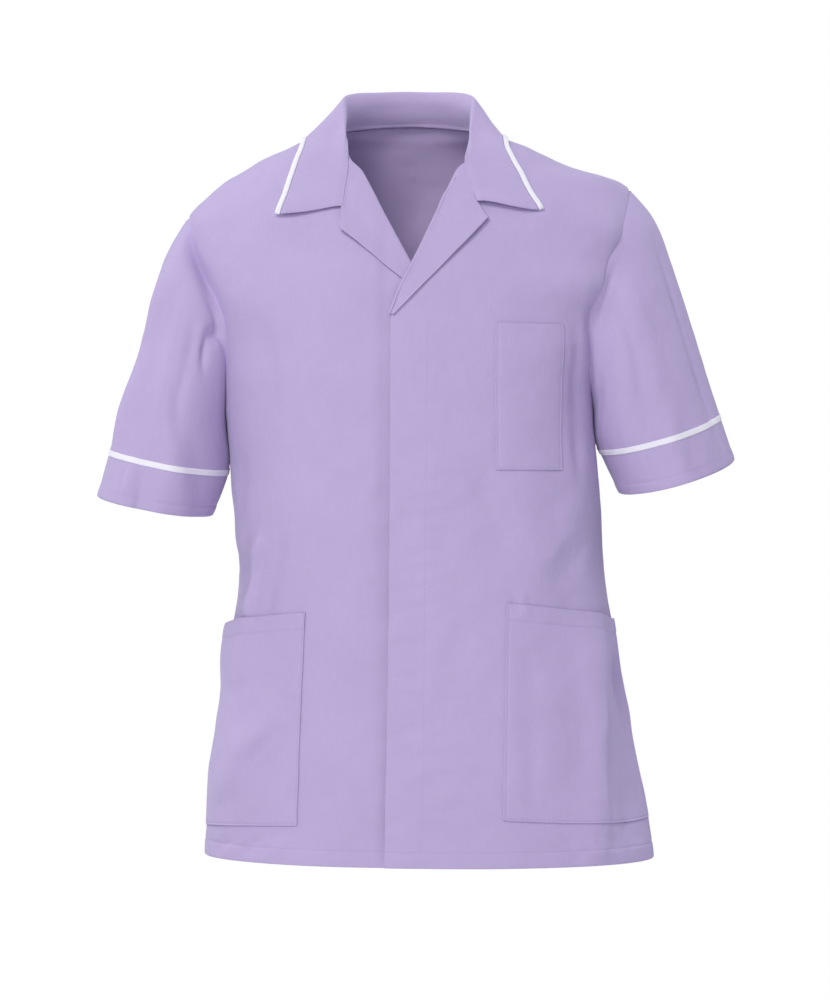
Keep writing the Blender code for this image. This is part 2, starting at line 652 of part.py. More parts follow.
def piping_mesh(collar):
    """A flattened cord along the leaf edge, closed at both ends."""
    edge = collar[:, -1]
    facing = on_body(edge[:, 0], edge[:, 1], 1.0) - on_body(edge[:, 0], edge[:, 1], 0.0)
    outward = edge - collar[:, -2]
    outward = outward - facing * np.sum(outward * facing, axis=1, keepdims=True)
    outward = outward / np.linalg.norm(outward, axis=1, keepdims=True)
    path = np.gradient(edge, axis=0)
    path = path / np.linalg.norm(path, axis=1, keepdims=True)
    outward = outward - path * np.sum(outward * path, axis=1, keepdims=True)
    outward = outward / np.linalg.norm(outward, axis=1, keepdims=True)
    upward = np.cross(path, outward)
    middle = edge + outward * (PIPING_WIDTH / 2 + SEAM_GAP)
    swing = np.linspace(0, 2 * np.pi, 8, endpoint=False)
    ring = (middle[:, None]
            + outward[:, None] * (np.cos(swing) * PIPING_WIDTH / 2)[None, :, None]
            + upward[:, None] * (np.sin(swing) * PIPING_THICK / 2)[None, :, None])
    count, sides = ring.shape[:2]
    index = np.arange(count * sides).reshape(count, sides)
    after = np.roll(index, -1, axis=1)
    quads = np.stack([index[:-1], after[:-1], after[1:], index[1:]], -1).reshape(-1, 4)
    points = np.concatenate([ring.reshape(-1, 3), middle[[0, -1]]])
    hub = count * sides
    caps = [(int(after[0, k]), int(index[0, k]), hub) for k in range(sides)]
    caps += [(int(index[-1, k]), int(after[-1, k]), hub + 1) for k in range(sides)]
    return points, [list(map(int, quad)) for quad in quads] + [list(cap) for cap in caps]


def revers_grid(turned, across=6, rows=14):
    """The turned-out part of a front facing, rolled over the break line."""
    left = turned > 0
    shape = REVERS_LEFT if left else REVERS_RIGHT
    break_line = level_line(BREAK_LEFT if left else BREAK_RIGHT, shape["foot_z"],
                            shape["gorge"][0][1], rows)
    lower = seen_line((shape["lower"][1], shape["lower"][0], shape["tip"]), rows, smooth=False)
    gorge = join(seen_line(shape["gorge"], across - 2),
                 seen_line((shape["gorge"][-1], shape["tip"]), 2))
    base = np.linspace(break_line[0], lower[0], across + 1)
    gorge[0] = break_line[-1]
    lower[-1] = gorge[-1]
    flat = coons(base, gorge, break_line, lower)
    beyond = np.zeros_like(flat[0])
    beyond[:, 0] = -turned * ROLL_OVER
    share = np.linspace(0, 1, across + 1)
    rest = PANEL_WALL / 2 + LIE_GAP + REVERS_WALL / 2
    puff = REVERS_PUFF * np.exp(-((share - PUFF_AT) / PUFF_AT) ** 2) + REVERS_LIFT * share ** 2
    angle, z = roll(flat)
    x = body_place(angle, z)[..., 0]
    clear = 1.0 if left else ease((-x - OVERLAP + TUCK_UNDER) / TUCK_FADE)
    lift = rest + puff[:, None] * clear
    sheet = front_surface(flat, turned, lift)
    bend = front_surface(flat[0] + beyond, turned, rest * ROLL_SETTLE)
    under = front_surface(flat[0] + beyond, turned, -ROLL_TUCK)
    return facing_out(np.concatenate([under[None], bend[None], sheet[1:]]), turned)


def pocket_grid(turned, shape, gape, across=10, rows=12):
    """A patch pocket on a front; its mouth may stand off towards the side seam."""
    lines = []
    for name in ("mouth", "base"):
        points = list(shape[name])
        to_side = points[-1][0] is None
        flat = [unroll(angle_at(x, z), np.array(float(z))) for x, z in points if x is not None]
        if to_side:
            z = np.array(float(points[-1][1]))
            width = spread(z, 1) - POCKET_SIDE_GAP
            flat.append(np.stack([turned * width, z]))
        lines.append(along(np.stack(flat), across, smooth=to_side))
    mouth, base = lines
    first = np.linspace(base[0], mouth[0], rows + 1)
    last = np.linspace(base[-1], mouth[-1], rows + 1)
    flat = coons(base, mouth, first, last)
    share = np.linspace(0, 1, across + 1)[:, None]
    depth = np.abs(mouth[:, None, 1] - flat[..., 1])
    sideways = ease((share - GAPE_START) / (1 - GAPE_START))
    open_out = gape * sideways * ease(1 - depth / GAPE_REACH)
    lift = PANEL_WALL / 2 + POCKET_GAP + POCKET_WALL / 2 + open_out
    return facing_out(front_surface(flat, turned, lift), turned)


def build():
    """Every piece of the tunic."""
    for old in list(bpy.data.objects):
        bpy.data.objects.remove(old, do_unlink=True)
    lilac = material("lilac_cloth", LILAC, 0.85)
    trim = material("white_trim", WHITE, 0.7)
    left_sleeve = sleeve_grid(1)
    right_sleeve = sleeve_grid(-1)
    collar = collar_grid()
    for name, (grid, normal) in (("front_left", front_panel(1)), ("front_right", front_panel(-1)),
                                 ("back", back_panel())):
        add_piece(name, wall_mesh(grid, PANEL_WALL, normal=normal), lilac)
    add_piece("sleeve_left", wall_mesh(left_sleeve, PANEL_WALL, ring=True), lilac)
    add_piece("sleeve_right", wall_mesh(right_sleeve, PANEL_WALL, ring=True), lilac)
    add_piece("collar", wall_mesh(collar, COLLAR_WALL), lilac)
    add_piece("lapel_left", wall_mesh(revers_grid(1), REVERS_WALL), lilac)
    add_piece("lapel_right", wall_mesh(revers_grid(-1), REVERS_WALL), lilac)
    add_piece("collar_piping", piping_mesh(collar), trim)
    add_piece("sleeve_braid_left", wall_mesh(braid_grid(left_sleeve), BRAID_THICK, ring=True), trim)
    add_piece("sleeve_braid_right", wall_mesh(braid_grid(right_sleeve), BRAID_THICK, ring=True), trim)
    add_piece("chest_pocket", wall_mesh(pocket_grid(1, CHEST_POCKET, 0.0), POCKET_WALL), lilac)
    add_piece("lower_pocket_left",
              wall_mesh(pocket_grid(1, LOWER_POCKET_LEFT, POCKET_GAPE_LEFT), POCKET_WALL), lilac)
    add_piece("lower_pocket_right",
              wall_mesh(pocket_grid(-1, LOWER_POCKET_RIGHT, POCKET_GAPE_RIGHT), POCKET_WALL), lilac)


build()
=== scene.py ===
import bpy
import numpy as np
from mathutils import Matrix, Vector


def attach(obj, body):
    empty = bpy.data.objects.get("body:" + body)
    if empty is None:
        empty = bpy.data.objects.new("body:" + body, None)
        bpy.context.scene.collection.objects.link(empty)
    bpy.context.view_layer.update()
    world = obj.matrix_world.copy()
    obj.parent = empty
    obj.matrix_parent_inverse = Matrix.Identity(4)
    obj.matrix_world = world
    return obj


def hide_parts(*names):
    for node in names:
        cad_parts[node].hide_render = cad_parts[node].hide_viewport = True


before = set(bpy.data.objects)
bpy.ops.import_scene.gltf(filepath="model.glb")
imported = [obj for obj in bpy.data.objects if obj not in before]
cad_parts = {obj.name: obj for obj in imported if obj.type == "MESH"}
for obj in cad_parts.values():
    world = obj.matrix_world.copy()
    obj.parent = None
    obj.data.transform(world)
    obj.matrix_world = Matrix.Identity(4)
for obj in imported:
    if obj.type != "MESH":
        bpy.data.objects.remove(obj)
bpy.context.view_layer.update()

print("stage: frame loaded, nodes", len(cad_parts))

# The tunic's cloth, worked out again on the form that its solids have, at a finer grain.
# Left and right are the wearer's; +x is the wearer's left. Lengths are in millimetres, and in
# metres where Blender or the frame reads them: depths of finishes, sheets, camera and lamps.

cloth = {
    "wall": 1.4,             # fold and seam layers at the edges that show
    "seamGap": 0.3,
    "cell": 3.6,             # usual size of a mesh cell
    "edgeSteps": (1.5, 3.4),  # closer lines beside each edge
    "markSteps": (-2.6, -1.5, -0.7, 0.0, 0.7, 1.5, 2.6),  # and beside each row of stitches
    "nearest": 0.42,         # share of a cell
    "edgeRound": 0.45,       # share of the wall by which an edge is drawn in
    "unevenSize": 78.0,      # soft unevenness of the whole cloth
    "unevenHeight": 0.75,
    "fineSize": 24.0,
    "fineHeight": 0.14,
    "lapPucker": 0.75,       # small unevenness beside the covered fastening
    "lapReach": 42.0,
    "lapSize": 30,
    "lapStretch": (0.7, 1.5),
    "grooveDepth": 0.38,     # how deep a row of stitches draws the cloth in
    "grooveWidth": 0.95,
    "puckerHeight": 0.14,
    "puckerSize": 11.0,
    "puckerReach": 7.0,
    "puckerDrift": 0.3,      # how slowly puckers change away from their seam
    "puckerWaves": 5,
    "hemFall": 3,            # over how many millimetres a hem's band ends at its stitches
    "waves": 9,              # sine waves in one sum, and how far their sizes vary
    "waveSizes": (0.7, 1.5),
}

# How finely lines and forms are read, apart from the cloth's own cells.
grain = {
    "splineSteps": 400,
    "sectionSteps": 900,
    "seenSteps": 160,
    "lineSteps": 200,
    "seamSteps": 60,
    "halvings": 34,
    "pastSide": 92.0,        # degrees, where halving starts
    "normalSwing": 0.5,      # degrees
    "normalRise": 1.5,
    "metres": 0.001,
}

body = {
    "columns": ("z", "right", "left", "front", "back", "mid", "power", "turn"),
    "sections": (
        (-740, -208, 245, 143, 140, 0, 2.10, 8.0),
        (-668, -201, 234, 140, 136, 0, 2.10, 7.7),
        (-620, -196, 224, 137, 133, 0, 2.10, 7.5),
        (-572, -190, 216, 134, 129, 0, 2.10, 7.0),
        (-524, -183, 207, 131, 124, 0, 2.15, 6.5),
        (-476, -175, 198, 128, 118, 0, 2.15, 6.0),
        (-428, -172, 192, 126, 115, 0, 2.20, 5.0),
        (-380, -176, 189, 126, 116, 0, 2.20, 3.5),
        (-329, -180, 185, 127, 120, 0, 2.20, 2.0),
        (-275, -184, 182, 127, 125, 0, 2.25, 1.0),
        (-235, -188, 186, 127, 127, 0, 2.25, 0.0),
        (-193, -199, 197, 125, 127, 0, 2.25, 0.0),
        (-145, -214, 211, 119, 123, 1, 2.25, 0.0),
        (-115, -222, 222, 109, 118, 2, 2.20, 0.0),
        (-88, -220, 227, 98, 113, 3, 2.20, 0.0),
        (-72, -204, 224, 88, 109, 4, 2.20, 0.0),
        (-57, -187, 214, 78, 104, 5, 2.20, 0.0),
        (-44, -166, 173, 70, 99, 5, 2.20, 0.0),
        (-32, -147, 143, 62, 94, 5, 2.20, 0.0),
        (-20, -119, 116, 50, 88, 5, 2.15, 0.0),
        (-11, -97, 91, 38, 84, 5, 2.10, 0.0),
        (-3, -74, 73, 28, 80, 5, 2.05, 0.0),
        (6, -67, 67, 22, 76, 5, 2.00, 0.0),
        (14, -60, 60, 18, 71, 5, 2.00, 0.0),
    ),
    "hemZ": -726.0,
    "overlap": 21.0,
    "underlapDrop": 3.4,
    "underlapFade": 55.0,
    "edgeDip": 2.4,
    "edgeDipReach": 15.0,
    "rowRise": 30.0,
    "seamLap": 2.2,          # the fronts run on below the back at side and shoulder seams
    "seamDip": 1.5,
    "seamDipReach": 5.0,
    "creaseFade": 7.0,       # degrees from the side seam over which creases rise
    "foldFade": 3.0,
    "backSeamDip": 0.5,
    "backSeamDipReach": 3.0,
    "lapMiddle": 12.0,       # x of the fastening's puckers, and the height where they start
    "lapTop": -300.0,
    "lapFade": 90.0,
    "hemStitch": 15.5,
    "hemPuff": 0.45,
    "hemRise": 5.0,
    "hemSeed": 31,
    "seamSeed": {1: 33, -1: 34},
    "seeds": {"front": 1, "back": 4, "lap": 14},
    "frontTall": 700.0,      # for the count of rows
    "backTall": 710.0,
    "backCell": 4.2,
    "fine": 12,              # points of an outline for each of these steps
    "steps": {"hem": 17, "level": 3, "break": 5, "neck": 2, "armhole": 10, "shoulder": 18,
              "backShoulder": 7, "backNeck": 12, "backArmhole": 9},
}

# Seam and edge lines on the body, as (x, z) seen from the front; key 1 is the left side.
lines = {
    "break": {1: ((-19, -193.5), (-3.5, -158), (3.5, -145), (30, -90), (53, -41)),
              -1: ((19, -186), (0.5, -145), (-23.5, -101), (-46, -57), (-60, -33))},
    "neck": {1: ((53, -41), (57, -26), (62.5, -13), (73, -3)),
             -1: ((-60, -33), (-61.5, -24), (-66, -13), (-74, -3))},
    "edge": {1: ((-25, -726), (-23.5, -650), (-20.5, -450), (-19, -193.5)),
             -1: ((18, -726), (18, -650), (20, -450), (19, -186))},
    "backNeck": ((-74, -3), (-60, 1), (-35, 6.5), (0, 9), (35, 6.5), (60, 1), (73, -3)),
    "armholeFront": {1: ((182, -275), (178, -245), (177, -215), (178, -185), (181, -168),
                         (185, -150), (192, -130), (203, -112), (211, -94), (217, -75), (219, -59)),
                     -1: ((-184, -275), (-182, -245), (-182, -215), (-184, -195), (-188, -182),
                          (-194, -168), (-202, -153), (-209, -136), (-215, -115), (-220, -88))},
    "armholeBack": {1: ((219, -59), (213, -80), (205, -110), (198, -140), (190, -170),
                        (184.5, -205), (181, -240), (182, -275)),
                    -1: ((-220, -88), (-214, -108), (-207, -130), (-200, -155), (-192, -180),
                         (-186.5, -210), (-185, -242), (-184, -275))},
}

# Main folds that the solids have, seen from the front: a ridge or trough between two places.
folds = {
    "level": 0.3,      # half the share of the line over which a fold keeps its height
    "fade": 3.2,
    "columns": ("fromX", "fromZ", "toX", "toZ", "width", "height"),
    "front": (
        (-132, -586, -189, -667, 18, 3.0),
        (-150, -420, -158, -490, 18, -2.5),
        (-120, -240, -132, -430, 22, 2.5),
        (-60, -520, -70, -700, 26, 2.5),
        (164, -330, 182, -560, 18, 3.0),
        (199, -470, 213, -650, 16, -2.5),
        (160, -190, 158, -270, 18, -3.0),
        (110, -350, 120, -470, 24, 2.5),
    ),
    "back": (
        (-62, -330, -74, -610, 26, 4.0),
        (58, -340, 80, -640, 26, 4.0),
        (-8, -420, 4, -600, 22, -3.0),
        (-118, -160, -100, -330, 24, -3.0),
        (112, -150, 104, -320, 24, -3.0),
        (150, -250, 158, -420, 16, 3.0),
        (-148, -250, -140, -430, 16, 3.0),
    ),
}

# Creases, as seen from the front: bend is how far the middle of the line
# bows to its left, skew steepens one side, and a negative height is a trough.
creases = {
    "depth": 1.6,      # multiplies every height
    "waver": 0.22,     # how much the width varies along a crease
    "swell": 0.18,     # and the height
    "trough": 0.35,
    "past": 0.12,      # how far a crease runs on past its ends, as a share, and fades over
    "fade": 0.4,
    "waverTurn": (7.3, 1.9),  # radians along a crease, and from one crease to the next
    "swellTurn": (11, 2.3),
    "columns": ("fromX", "fromZ", "toX", "toZ", "bend", "width", "height", "skew"),
    "front": (
        (-146, -402, -164, -498, 2, 6, 4.6, 0.6),
        (-158, -400, -176, -496, 2, 8, -3.6, 0.0),
        (-125, -390, -146, -492, 4, 10, -1.9, 0.0),
        (-166, -320, -170, -400, 2, 9, -1.5, 0.2),
        (-122, -580, -184, -664, -6, 13, 3.8, 0.4),
        (-108, -560, -166, -640, 5, 13, -2.0, 0.0),
        (-150, -530, -178, -568, 4, 12, -1.0, 0.0),
        (-174, -704, -194, -720, 0, 6, -1.5, 0.2),
        (-148, -702, -164, -719, 0, 6, -1.5, 0.0),
        (-124, -700, -132, -719, 0, 6, 1.2, 0.0),
        (150, -697, 166, -719, 0, 6, -0.8, 0.2),
        (174, -697, 190, -718, 0, 6, 0.6, 0.2),
        (190, -696, 208, -717, 0, 6, -0.9, 0.2),
        (206, -686, 232, -706, 0, 7, -0.7, 0.0),
        (108, -462, 116, -486, -2, 5, 0.9, 0.2),
        (97, -458, 102, -482, 1, 4, -0.9, 0.0),
        (194, -84, 167, -182, 6, 20, 5.0, 0.6),
        (164, -150, 159, -268, 3, 17, 3.6, 0.6),
        (160, -205, 163, -350, 2, 7, -2.6, 0.0),
        (160, -372, 124, -440, 5, 14, 0.9, 0.2),
        (176, -384, 140, -456, 6, 12, -1.3, 0.2),
        (60, -330, 86, -430, 8, 20, -1.4, 0.0),
        (114, -520, 116, -672, 2, 12, -1.3, 0.0),
        (181, -474, 187, -716, 0, 10, 4.2, 0.5),
        (204, -480, 219, -716, 0, 14, -4.6, 0.0),
        (158, -520, 166, -650, 0, 15, -0.5, 0.0),
        (-92, -250, -60, -330, 10, 22, -1.2, 0.0),
        (-30, -330, -46, -470, -8, 18, 1.2, 0.0),
        (14, -400, 20, -560, 6, 16, 1.0, 0.0),
        (-156, -190, -132, -290, 6, 16, -1.6, 0.2),
        (140, -60, 120, -120, 6, 22, 1.0, 0.0),
        (-150, -70, -120, -130, -6, 22, 1.0, 0.0),
    ),
    "back": (
        (-30, -150, -52, -300, 8, 20, 1.8, 0.0),
        (36, -140, 54, -290, -8, 20, 1.7, 0.0),
        (-150, -190, -110, -260, -8, 12, -2.4, 0.3),
        (152, -180, 112, -250, 8, 12, -2.4, 0.3),
        (-60, -360, -20, -420, 6, 14, -1.5, 0.2),
        (70, -360, 34, -424, -6, 14, -1.6, 0.2),
        (-120, -430, -96, -560, 8, 16, 2.2, 0.0),
        (128, -420, 104, -566, -8, 16, 2.2, 0.0),
        (-150, -520, -160, -690, 4, 14, 1.8, 0.2),
        (168, -520, 186, -690, -4, 14, 1.8, 0.2),
        (-30, -560, -38, -716, 4, 18, 2.0, 0.0),
        (34, -580, 44, -716, -4, 18, 1.9, 0.0),
        (8, -14, 4, -150, 0, 34, 4.2, 0.0),
    ),
}


def spline(knots, values, at):
    # Natural cubic spline through (knots, values), read at the given places.
    knots = np.asarray(knots, float)
    values = np.asarray(values, float)
    count = len(knots)
    step = np.diff(knots)
    slope = np.diff(values, axis=0) / (step if values.ndim == 1 else step[:, None])
    system = np.eye(count)
    right = np.zeros_like(values)
    for row in range(1, count - 1):
        system[row, row - 1] = step[row - 1]
        system[row, row] = 2 * (step[row - 1] + step[row])
        system[row, row + 1] = step[row]
        right[row] = 6 * (slope[row] - slope[row - 1])
    bend = np.linalg.solve(system, right)
    at = np.clip(np.asarray(at, float), knots[0], knots[-1])
    spot = np.clip(np.searchsorted(knots, at) - 1, 0, count - 2)
    width = step[spot]
    near = (at - knots[spot]) / width
    far = 1 - near
    if values.ndim > 1:
        near = near[..., None]
        far = far[..., None]
        width = width[..., None]
    curve = (far ** 3 - far) * bend[spot] + (near ** 3 - near) * bend[spot + 1]
    return far * values[spot] + near * values[spot + 1] + width ** 2 / 6 * curve


def runOf(points):
    # Distance travelled along a line at each of its points.
    return np.r_[0, np.cumsum(np.linalg.norm(np.diff(points, axis=0), axis=1))]


def readAt(at, run, points):
    # Every column of a line's points, read where the distance run is at.
    return np.stack([np.interp(at, run, column) for column in points.T], axis=-1)


def unit(vectors):
    # The same directions with length 1.
    return vectors / np.linalg.norm(vectors, axis=-1, keepdims=True)


def evenLine(points, count, smooth=True):
    # Count + 1 evenly spaced points along a line through the given ones.
    points = np.asarray(points, float)
    run = runOf(points)
    if smooth and len(points) > 2:
        points = spline(run, points, np.linspace(0, run[-1], grain["splineSteps"]))
        run = runOf(points)
    return readAt(np.linspace(0, run[-1], count + 1), run, points)


def smoothSections():
    # The body's sections as dense smooth columns, one for each name, rising in z.
    rows = np.array(body["sections"], float)
    half = (rows[:, 2] - rows[:, 1]) / 2
    run = np.r_[0, np.cumsum(np.hypot(np.diff(rows[:, 0]), np.diff(half)))]
    dense = spline(run, rows, np.linspace(0, run[-1], grain["sectionSteps"]))
    return dict(zip(body["columns"], dense.T))


bodyForm = smoothSections()


def sectionAt(z):
    # Each body column at height z, with the half width and the centre between its sides.
    row = {name: np.interp(z, bodyForm["z"], bodyForm[name]) for name in body["columns"][1:]}
    row["half"] = (row["left"] - row["right"]) / 2
    row["centre"] = (row["left"] + row["right"]) / 2
    return row


def bodyPlace(angle, z):
    # Superellipse section turned about z: |sin|^p + |cos|^p scales the ray at this angle;
    # angle is in degrees, 0 in front and 90 at the wearer's left.
    row = sectionAt(z)
    swing = np.radians(np.asarray(angle, float))
    side = np.sin(swing)
    ahead = np.cos(swing)
    depth = np.where(ahead > 0, row["front"], row["back"])
    grow = (np.abs(side) ** row["power"] + np.abs(ahead) ** row["power"]) ** (-1 / row["power"])
    across = row["half"] * side * grow
    deep = -depth * ahead * grow
    turn = np.radians(row["turn"])
    x = row["centre"] + across * np.cos(turn) + deep * np.sin(turn)
    y = row["mid"] - across * np.sin(turn) + deep * np.cos(turn)
    return np.stack([x, y, np.broadcast_to(z, x.shape)], axis=-1)


def bodyAround(angle, z):
    # The step round the body at a place.
    return bodyPlace(angle + grain["normalSwing"], z) - bodyPlace(angle - grain["normalSwing"], z)


def bodyNormal(angle, z):
    # Cross product of the steps round the body and up it.
    up = bodyPlace(angle, z + grain["normalRise"]) - bodyPlace(angle, z - grain["normalRise"])
    return unit(np.cross(bodyAround(angle, z), up))


def bodyPoint(angle, z, out=0.0):
    # Point on the body, moved out along the normal.
    angle = np.asarray(angle, float)
    z = np.asarray(z, float)
    return bodyPlace(angle, z) + bodyNormal(angle, z) * np.asarray(out)[..., None]


def angleAt(x, z, side=1):
    # The angle where the body passes x at height z, on the front (1) or back (-1), by halving.
    x = np.asarray(x, float)
    ahead = 0 if side > 0 else 180
    low = np.full(x.shape, ahead - side * grain["pastSide"])
    high = np.full(x.shape, ahead + side * grain["pastSide"])
    for _ in range(grain["halvings"]):
        middle = (low + high) / 2
        short = bodyPlace(middle, z)[..., 0] < x
        low = np.where(short, middle, low)
        high = np.where(short, high, middle)
    return (low + high) / 2


def quarterLength(z, side):
    # Length of a quarter of the section (Ramanujan's ellipse), which unrolls angles to widths.
    row = sectionAt(z)
    half = row["half"]
    depth = row["front" if side > 0 else "back"]
    return (3 * (half + depth) - np.sqrt((3 * half + depth) * (half + 3 * depth))) * np.pi / 4


def unroll(angle, z, side=1):
    # (width, z) of a place on the body, as the panel would lie flat across.
    turned = angle if side > 0 else 180 - angle
    return np.stack([turned / 90 * quarterLength(z, side), z], axis=-1)


def rollUp(flat, side=1):
    # The reverse of unroll: angle and z.
    turned = flat[..., 0] * 90 / quarterLength(flat[..., 1], side)
    return (turned if side > 0 else 180 - turned), flat[..., 1]


def seenLine(points, count, side=1, smooth=True):
    # A line given by (x, z) as seen from the front, unrolled.
    seen = evenLine(points, grain["seenSteps"], smooth)
    flat = unroll(angleAt(seen[:, 0], seen[:, 1], side), seen[:, 1], side)
    return evenLine(flat, count, smooth=False)


def levelLine(points, fromZ, toZ, count):
    # The stretch of a seen line between two heights, in even steps of height.
    line = seenLine(points, grain["lineSteps"])
    z = np.linspace(fromZ, toZ, count + 1)
    return np.stack([np.interp(z, line[:, 1], line[:, 0]), z], axis=-1)


def seamLine(fromZ, toZ, count, turned, side=1):
    # A stretch of side or shoulder seam, where the panel ends, unrolled.
    z = np.linspace(fromZ, toZ, count + 1)
    depth = sectionAt(z)["front" if side > 0 else "back"]
    past = body["seamLap"] if side > 0 else -cloth["seamGap"] / 2
    angle = 90 + np.degrees(past / depth)
    return np.stack([turned * angle / 90 * quarterLength(z, side), z], axis=-1)


def joinLines(*parts):
    # Lines joined end to end, with the shared points once.
    return np.concatenate([parts[0]] + [part[1:] for part in parts[1:]])


def pick(line, shares):
    # A line read at shares of its number of points.
    return readAt(np.asarray(shares) * (len(line) - 1), np.arange(len(line)), line)


def coonsGrid(bottom, top, first, last, us, vs):
    # Coons patch: both pairs of opposite lines blended, less the blend of the corners.
    u = np.asarray(us)[:, None, None]
    v = np.asarray(vs)[None, :, None]
    corners = ((1 - u) * (1 - v) * bottom[0] + u * (1 - v) * bottom[-1]
               + (1 - u) * v * top[0] + u * v * top[-1])
    return ((1 - v) * pick(bottom, us)[:, None] + v * pick(top, us)[:, None]
            + (1 - u) * pick(first, vs)[None] + u * pick(last, vs)[None] - corners)


def sharesOf(length, marks=(), cell=None):
    # Shares of a length: even cells, with closer lines at both ends and beside each mark; an
    # even line too near a closer one is left out.
    cell = cell or cloth["cell"]
    even = np.linspace(0, length, max(int(round(length / cell)), 2) + 1)
    ends = (0.0,) + cloth["edgeSteps"]
    close = np.array([*ends, *(length - step for step in ends),
                      *(mark + step for mark in marks for step in cloth["markSteps"])])
    close = close[(close >= 0) & (close <= length)]
    gap = np.abs(even[:, None] - close[None]).min(axis=1)
    return np.unique(np.r_[even[gap > cell * cloth["nearest"]], close]) / length


def ease(value):
    # 0 to 1, level at both ends.
    value = np.clip(value, 0, 1)
    return value * value * (3 - 2 * value)


def bell(distance, width):
    # Soft bump, 1 at no distance.
    return np.exp(-(distance / width) ** 2)


def waves(u, v, size, seed, count=cloth["waves"]):
    # Smooth unevenness: sum of plane sine waves of about one size in seeded directions.
    draw = np.random.default_rng(seed)
    total = 0
    for _ in range(count):
        turn = draw.uniform(0, np.pi)
        length = size * draw.uniform(*cloth["waveSizes"])
        phase = draw.uniform(0, 2 * np.pi)
        total = total + np.sin((u * np.cos(turn) + v * np.sin(turn)) * 2 * np.pi / length + phase)
    return total / np.sqrt(count)


def lineFrame(u, v, row):
    # How far along the line between a row's two places each point is, as a share of the
    # line, and how far to the line's left.
    runU = row["toX"] - row["fromX"]
    runV = row["toZ"] - row["fromZ"]
    length = np.hypot(runU, runV)
    u = u - row["fromX"]
    v = v - row["fromZ"]
    return (u * runU + v * runV) / length ** 2, (v * runU - u * runV) / length


def foldHeight(points, rows):
    # Straight ridges and troughs: a bell across the line, level along it, fading at its ends.
    total = np.zeros(points.shape[:-1])
    for row in rows:
        fold = dict(zip(folds["columns"], row))
        share, aside = lineFrame(points[..., 0], points[..., 2], fold)
        past = np.maximum(np.abs(np.clip(share, -1, 2) - 0.5) - folds["level"], 0)
        total += fold["height"] * bell(aside, fold["width"]) * bell(past * folds["fade"], 1)
    return total


def creaseHeight(u, v, rows, seed):
    # Bowed creases: a ridge with a shallow trough on each side, its width wavering, steeper
    # on one side, and fading at both ends.
    total = np.zeros(np.broadcast(u, v).shape)
    past = creases["past"]
    for number, row in enumerate(rows):
        crease = dict(zip(creases["columns"], row))
        ahead, aside = lineFrame(u, v, crease)
        share = np.clip(ahead, 0, 1)
        aside = aside - crease["bend"] * 4 * share * (1 - share)
        along, each = creases["waverTurn"]
        waver = 1 + creases["waver"] * np.sin(ahead * along + number * each + seed)
        q = aside / (crease["width"] * waver)
        q = q * (1 + crease["skew"] * np.tanh(q * 2))
        profile = bell(q, 1) * (1 - creases["trough"] * q ** 2)
        fade = ease((ahead + past) / creases["fade"]) * ease((1 + past - ahead) / creases["fade"])
        along, each = creases["swellTurn"]
        swell = 1 + creases["swell"] * np.sin(ahead * along + number * each)
        total += creases["depth"] * crease["height"] * profile * fade * swell
    return total


def gridNormal(grid, ring=False):
    # Unit normals of a grid of points; ring if its first index closes.
    across = np.roll(grid, -1, 0) - np.roll(grid, 1, 0) if ring else np.gradient(grid, axis=0)
    return unit(np.cross(across, np.gradient(grid, axis=1)))


def facingOut(grid, turned):
    # Grids run towards the wearer's left, so that their faces look outwards.
    return grid if turned > 0 else grid[::-1]


def shellMesh(grid, flat, wall, ring=False, normal=None):
    # A thin shell: the grid moved out and in by half a wall, and joined round the edges over
    # one middle line, so that each edge is round. Edge points are drawn in by half the wall.
    columns, rows = grid.shape[:2]
    if normal is None:
        normal = gridNormal(grid, ring)
    drawn = grid.copy()

    def drawIn(edge, beside):
        step = beside - edge
        size = np.linalg.norm(step, axis=-1, keepdims=True)
        share = cloth["edgeRound"]
        return step / np.maximum(size, 1e-6) * np.minimum(wall * share, size * share)

    drawn[:, 0] += drawIn(grid[:, 0], grid[:, 1])
    drawn[:, -1] += drawIn(grid[:, -1], grid[:, -2])
    if not ring:
        drawn[0] += drawIn(grid[0], grid[1])
        drawn[-1] += drawIn(grid[-1], grid[-2])
    outer = (drawn + normal * wall / 2).reshape(-1, 3)
    inner = (drawn - normal * wall / 2).reshape(-1, 3)
    index = np.arange(columns * rows).reshape(columns, rows)
    wrapped = np.concatenate([index, index[:1]]) if ring else index
    quads = np.stack([wrapped[:-1, :-1], wrapped[1:, :-1], wrapped[1:, 1:], wrapped[:-1, 1:]], -1)
    quads = quads.reshape(-1, 4)
    shift = columns * rows
    faces = [quads, quads[:, ::-1] + shift]
    if ring:
        loops = [index[:, 0], index[::-1, -1]]
    else:
        loops = [np.concatenate([index[:-1, 0], index[-1, :-1], index[:0:-1, -1], index[0, :0:-1]])]
    points = [outer, inner]
    flats = [flat.reshape(-1, 2), flat.reshape(-1, 2)]
    start = 2 * shift
    for loop in loops:
        rim = start + np.arange(len(loop))
        start += len(loop)
        points.append(grid.reshape(-1, 3)[loop])
        flats.append(flat.reshape(-1, 2)[loop])
        after = np.roll(loop, -1)
        rimAfter = np.roll(rim, -1)
        faces.append(np.stack([loop, rim, rimAfter, after], -1))
        faces.append(np.stack([rim, loop + shift, after + shift, rimAfter], -1))
    return np.concatenate(points), np.concatenate(faces), np.concatenate(flats)


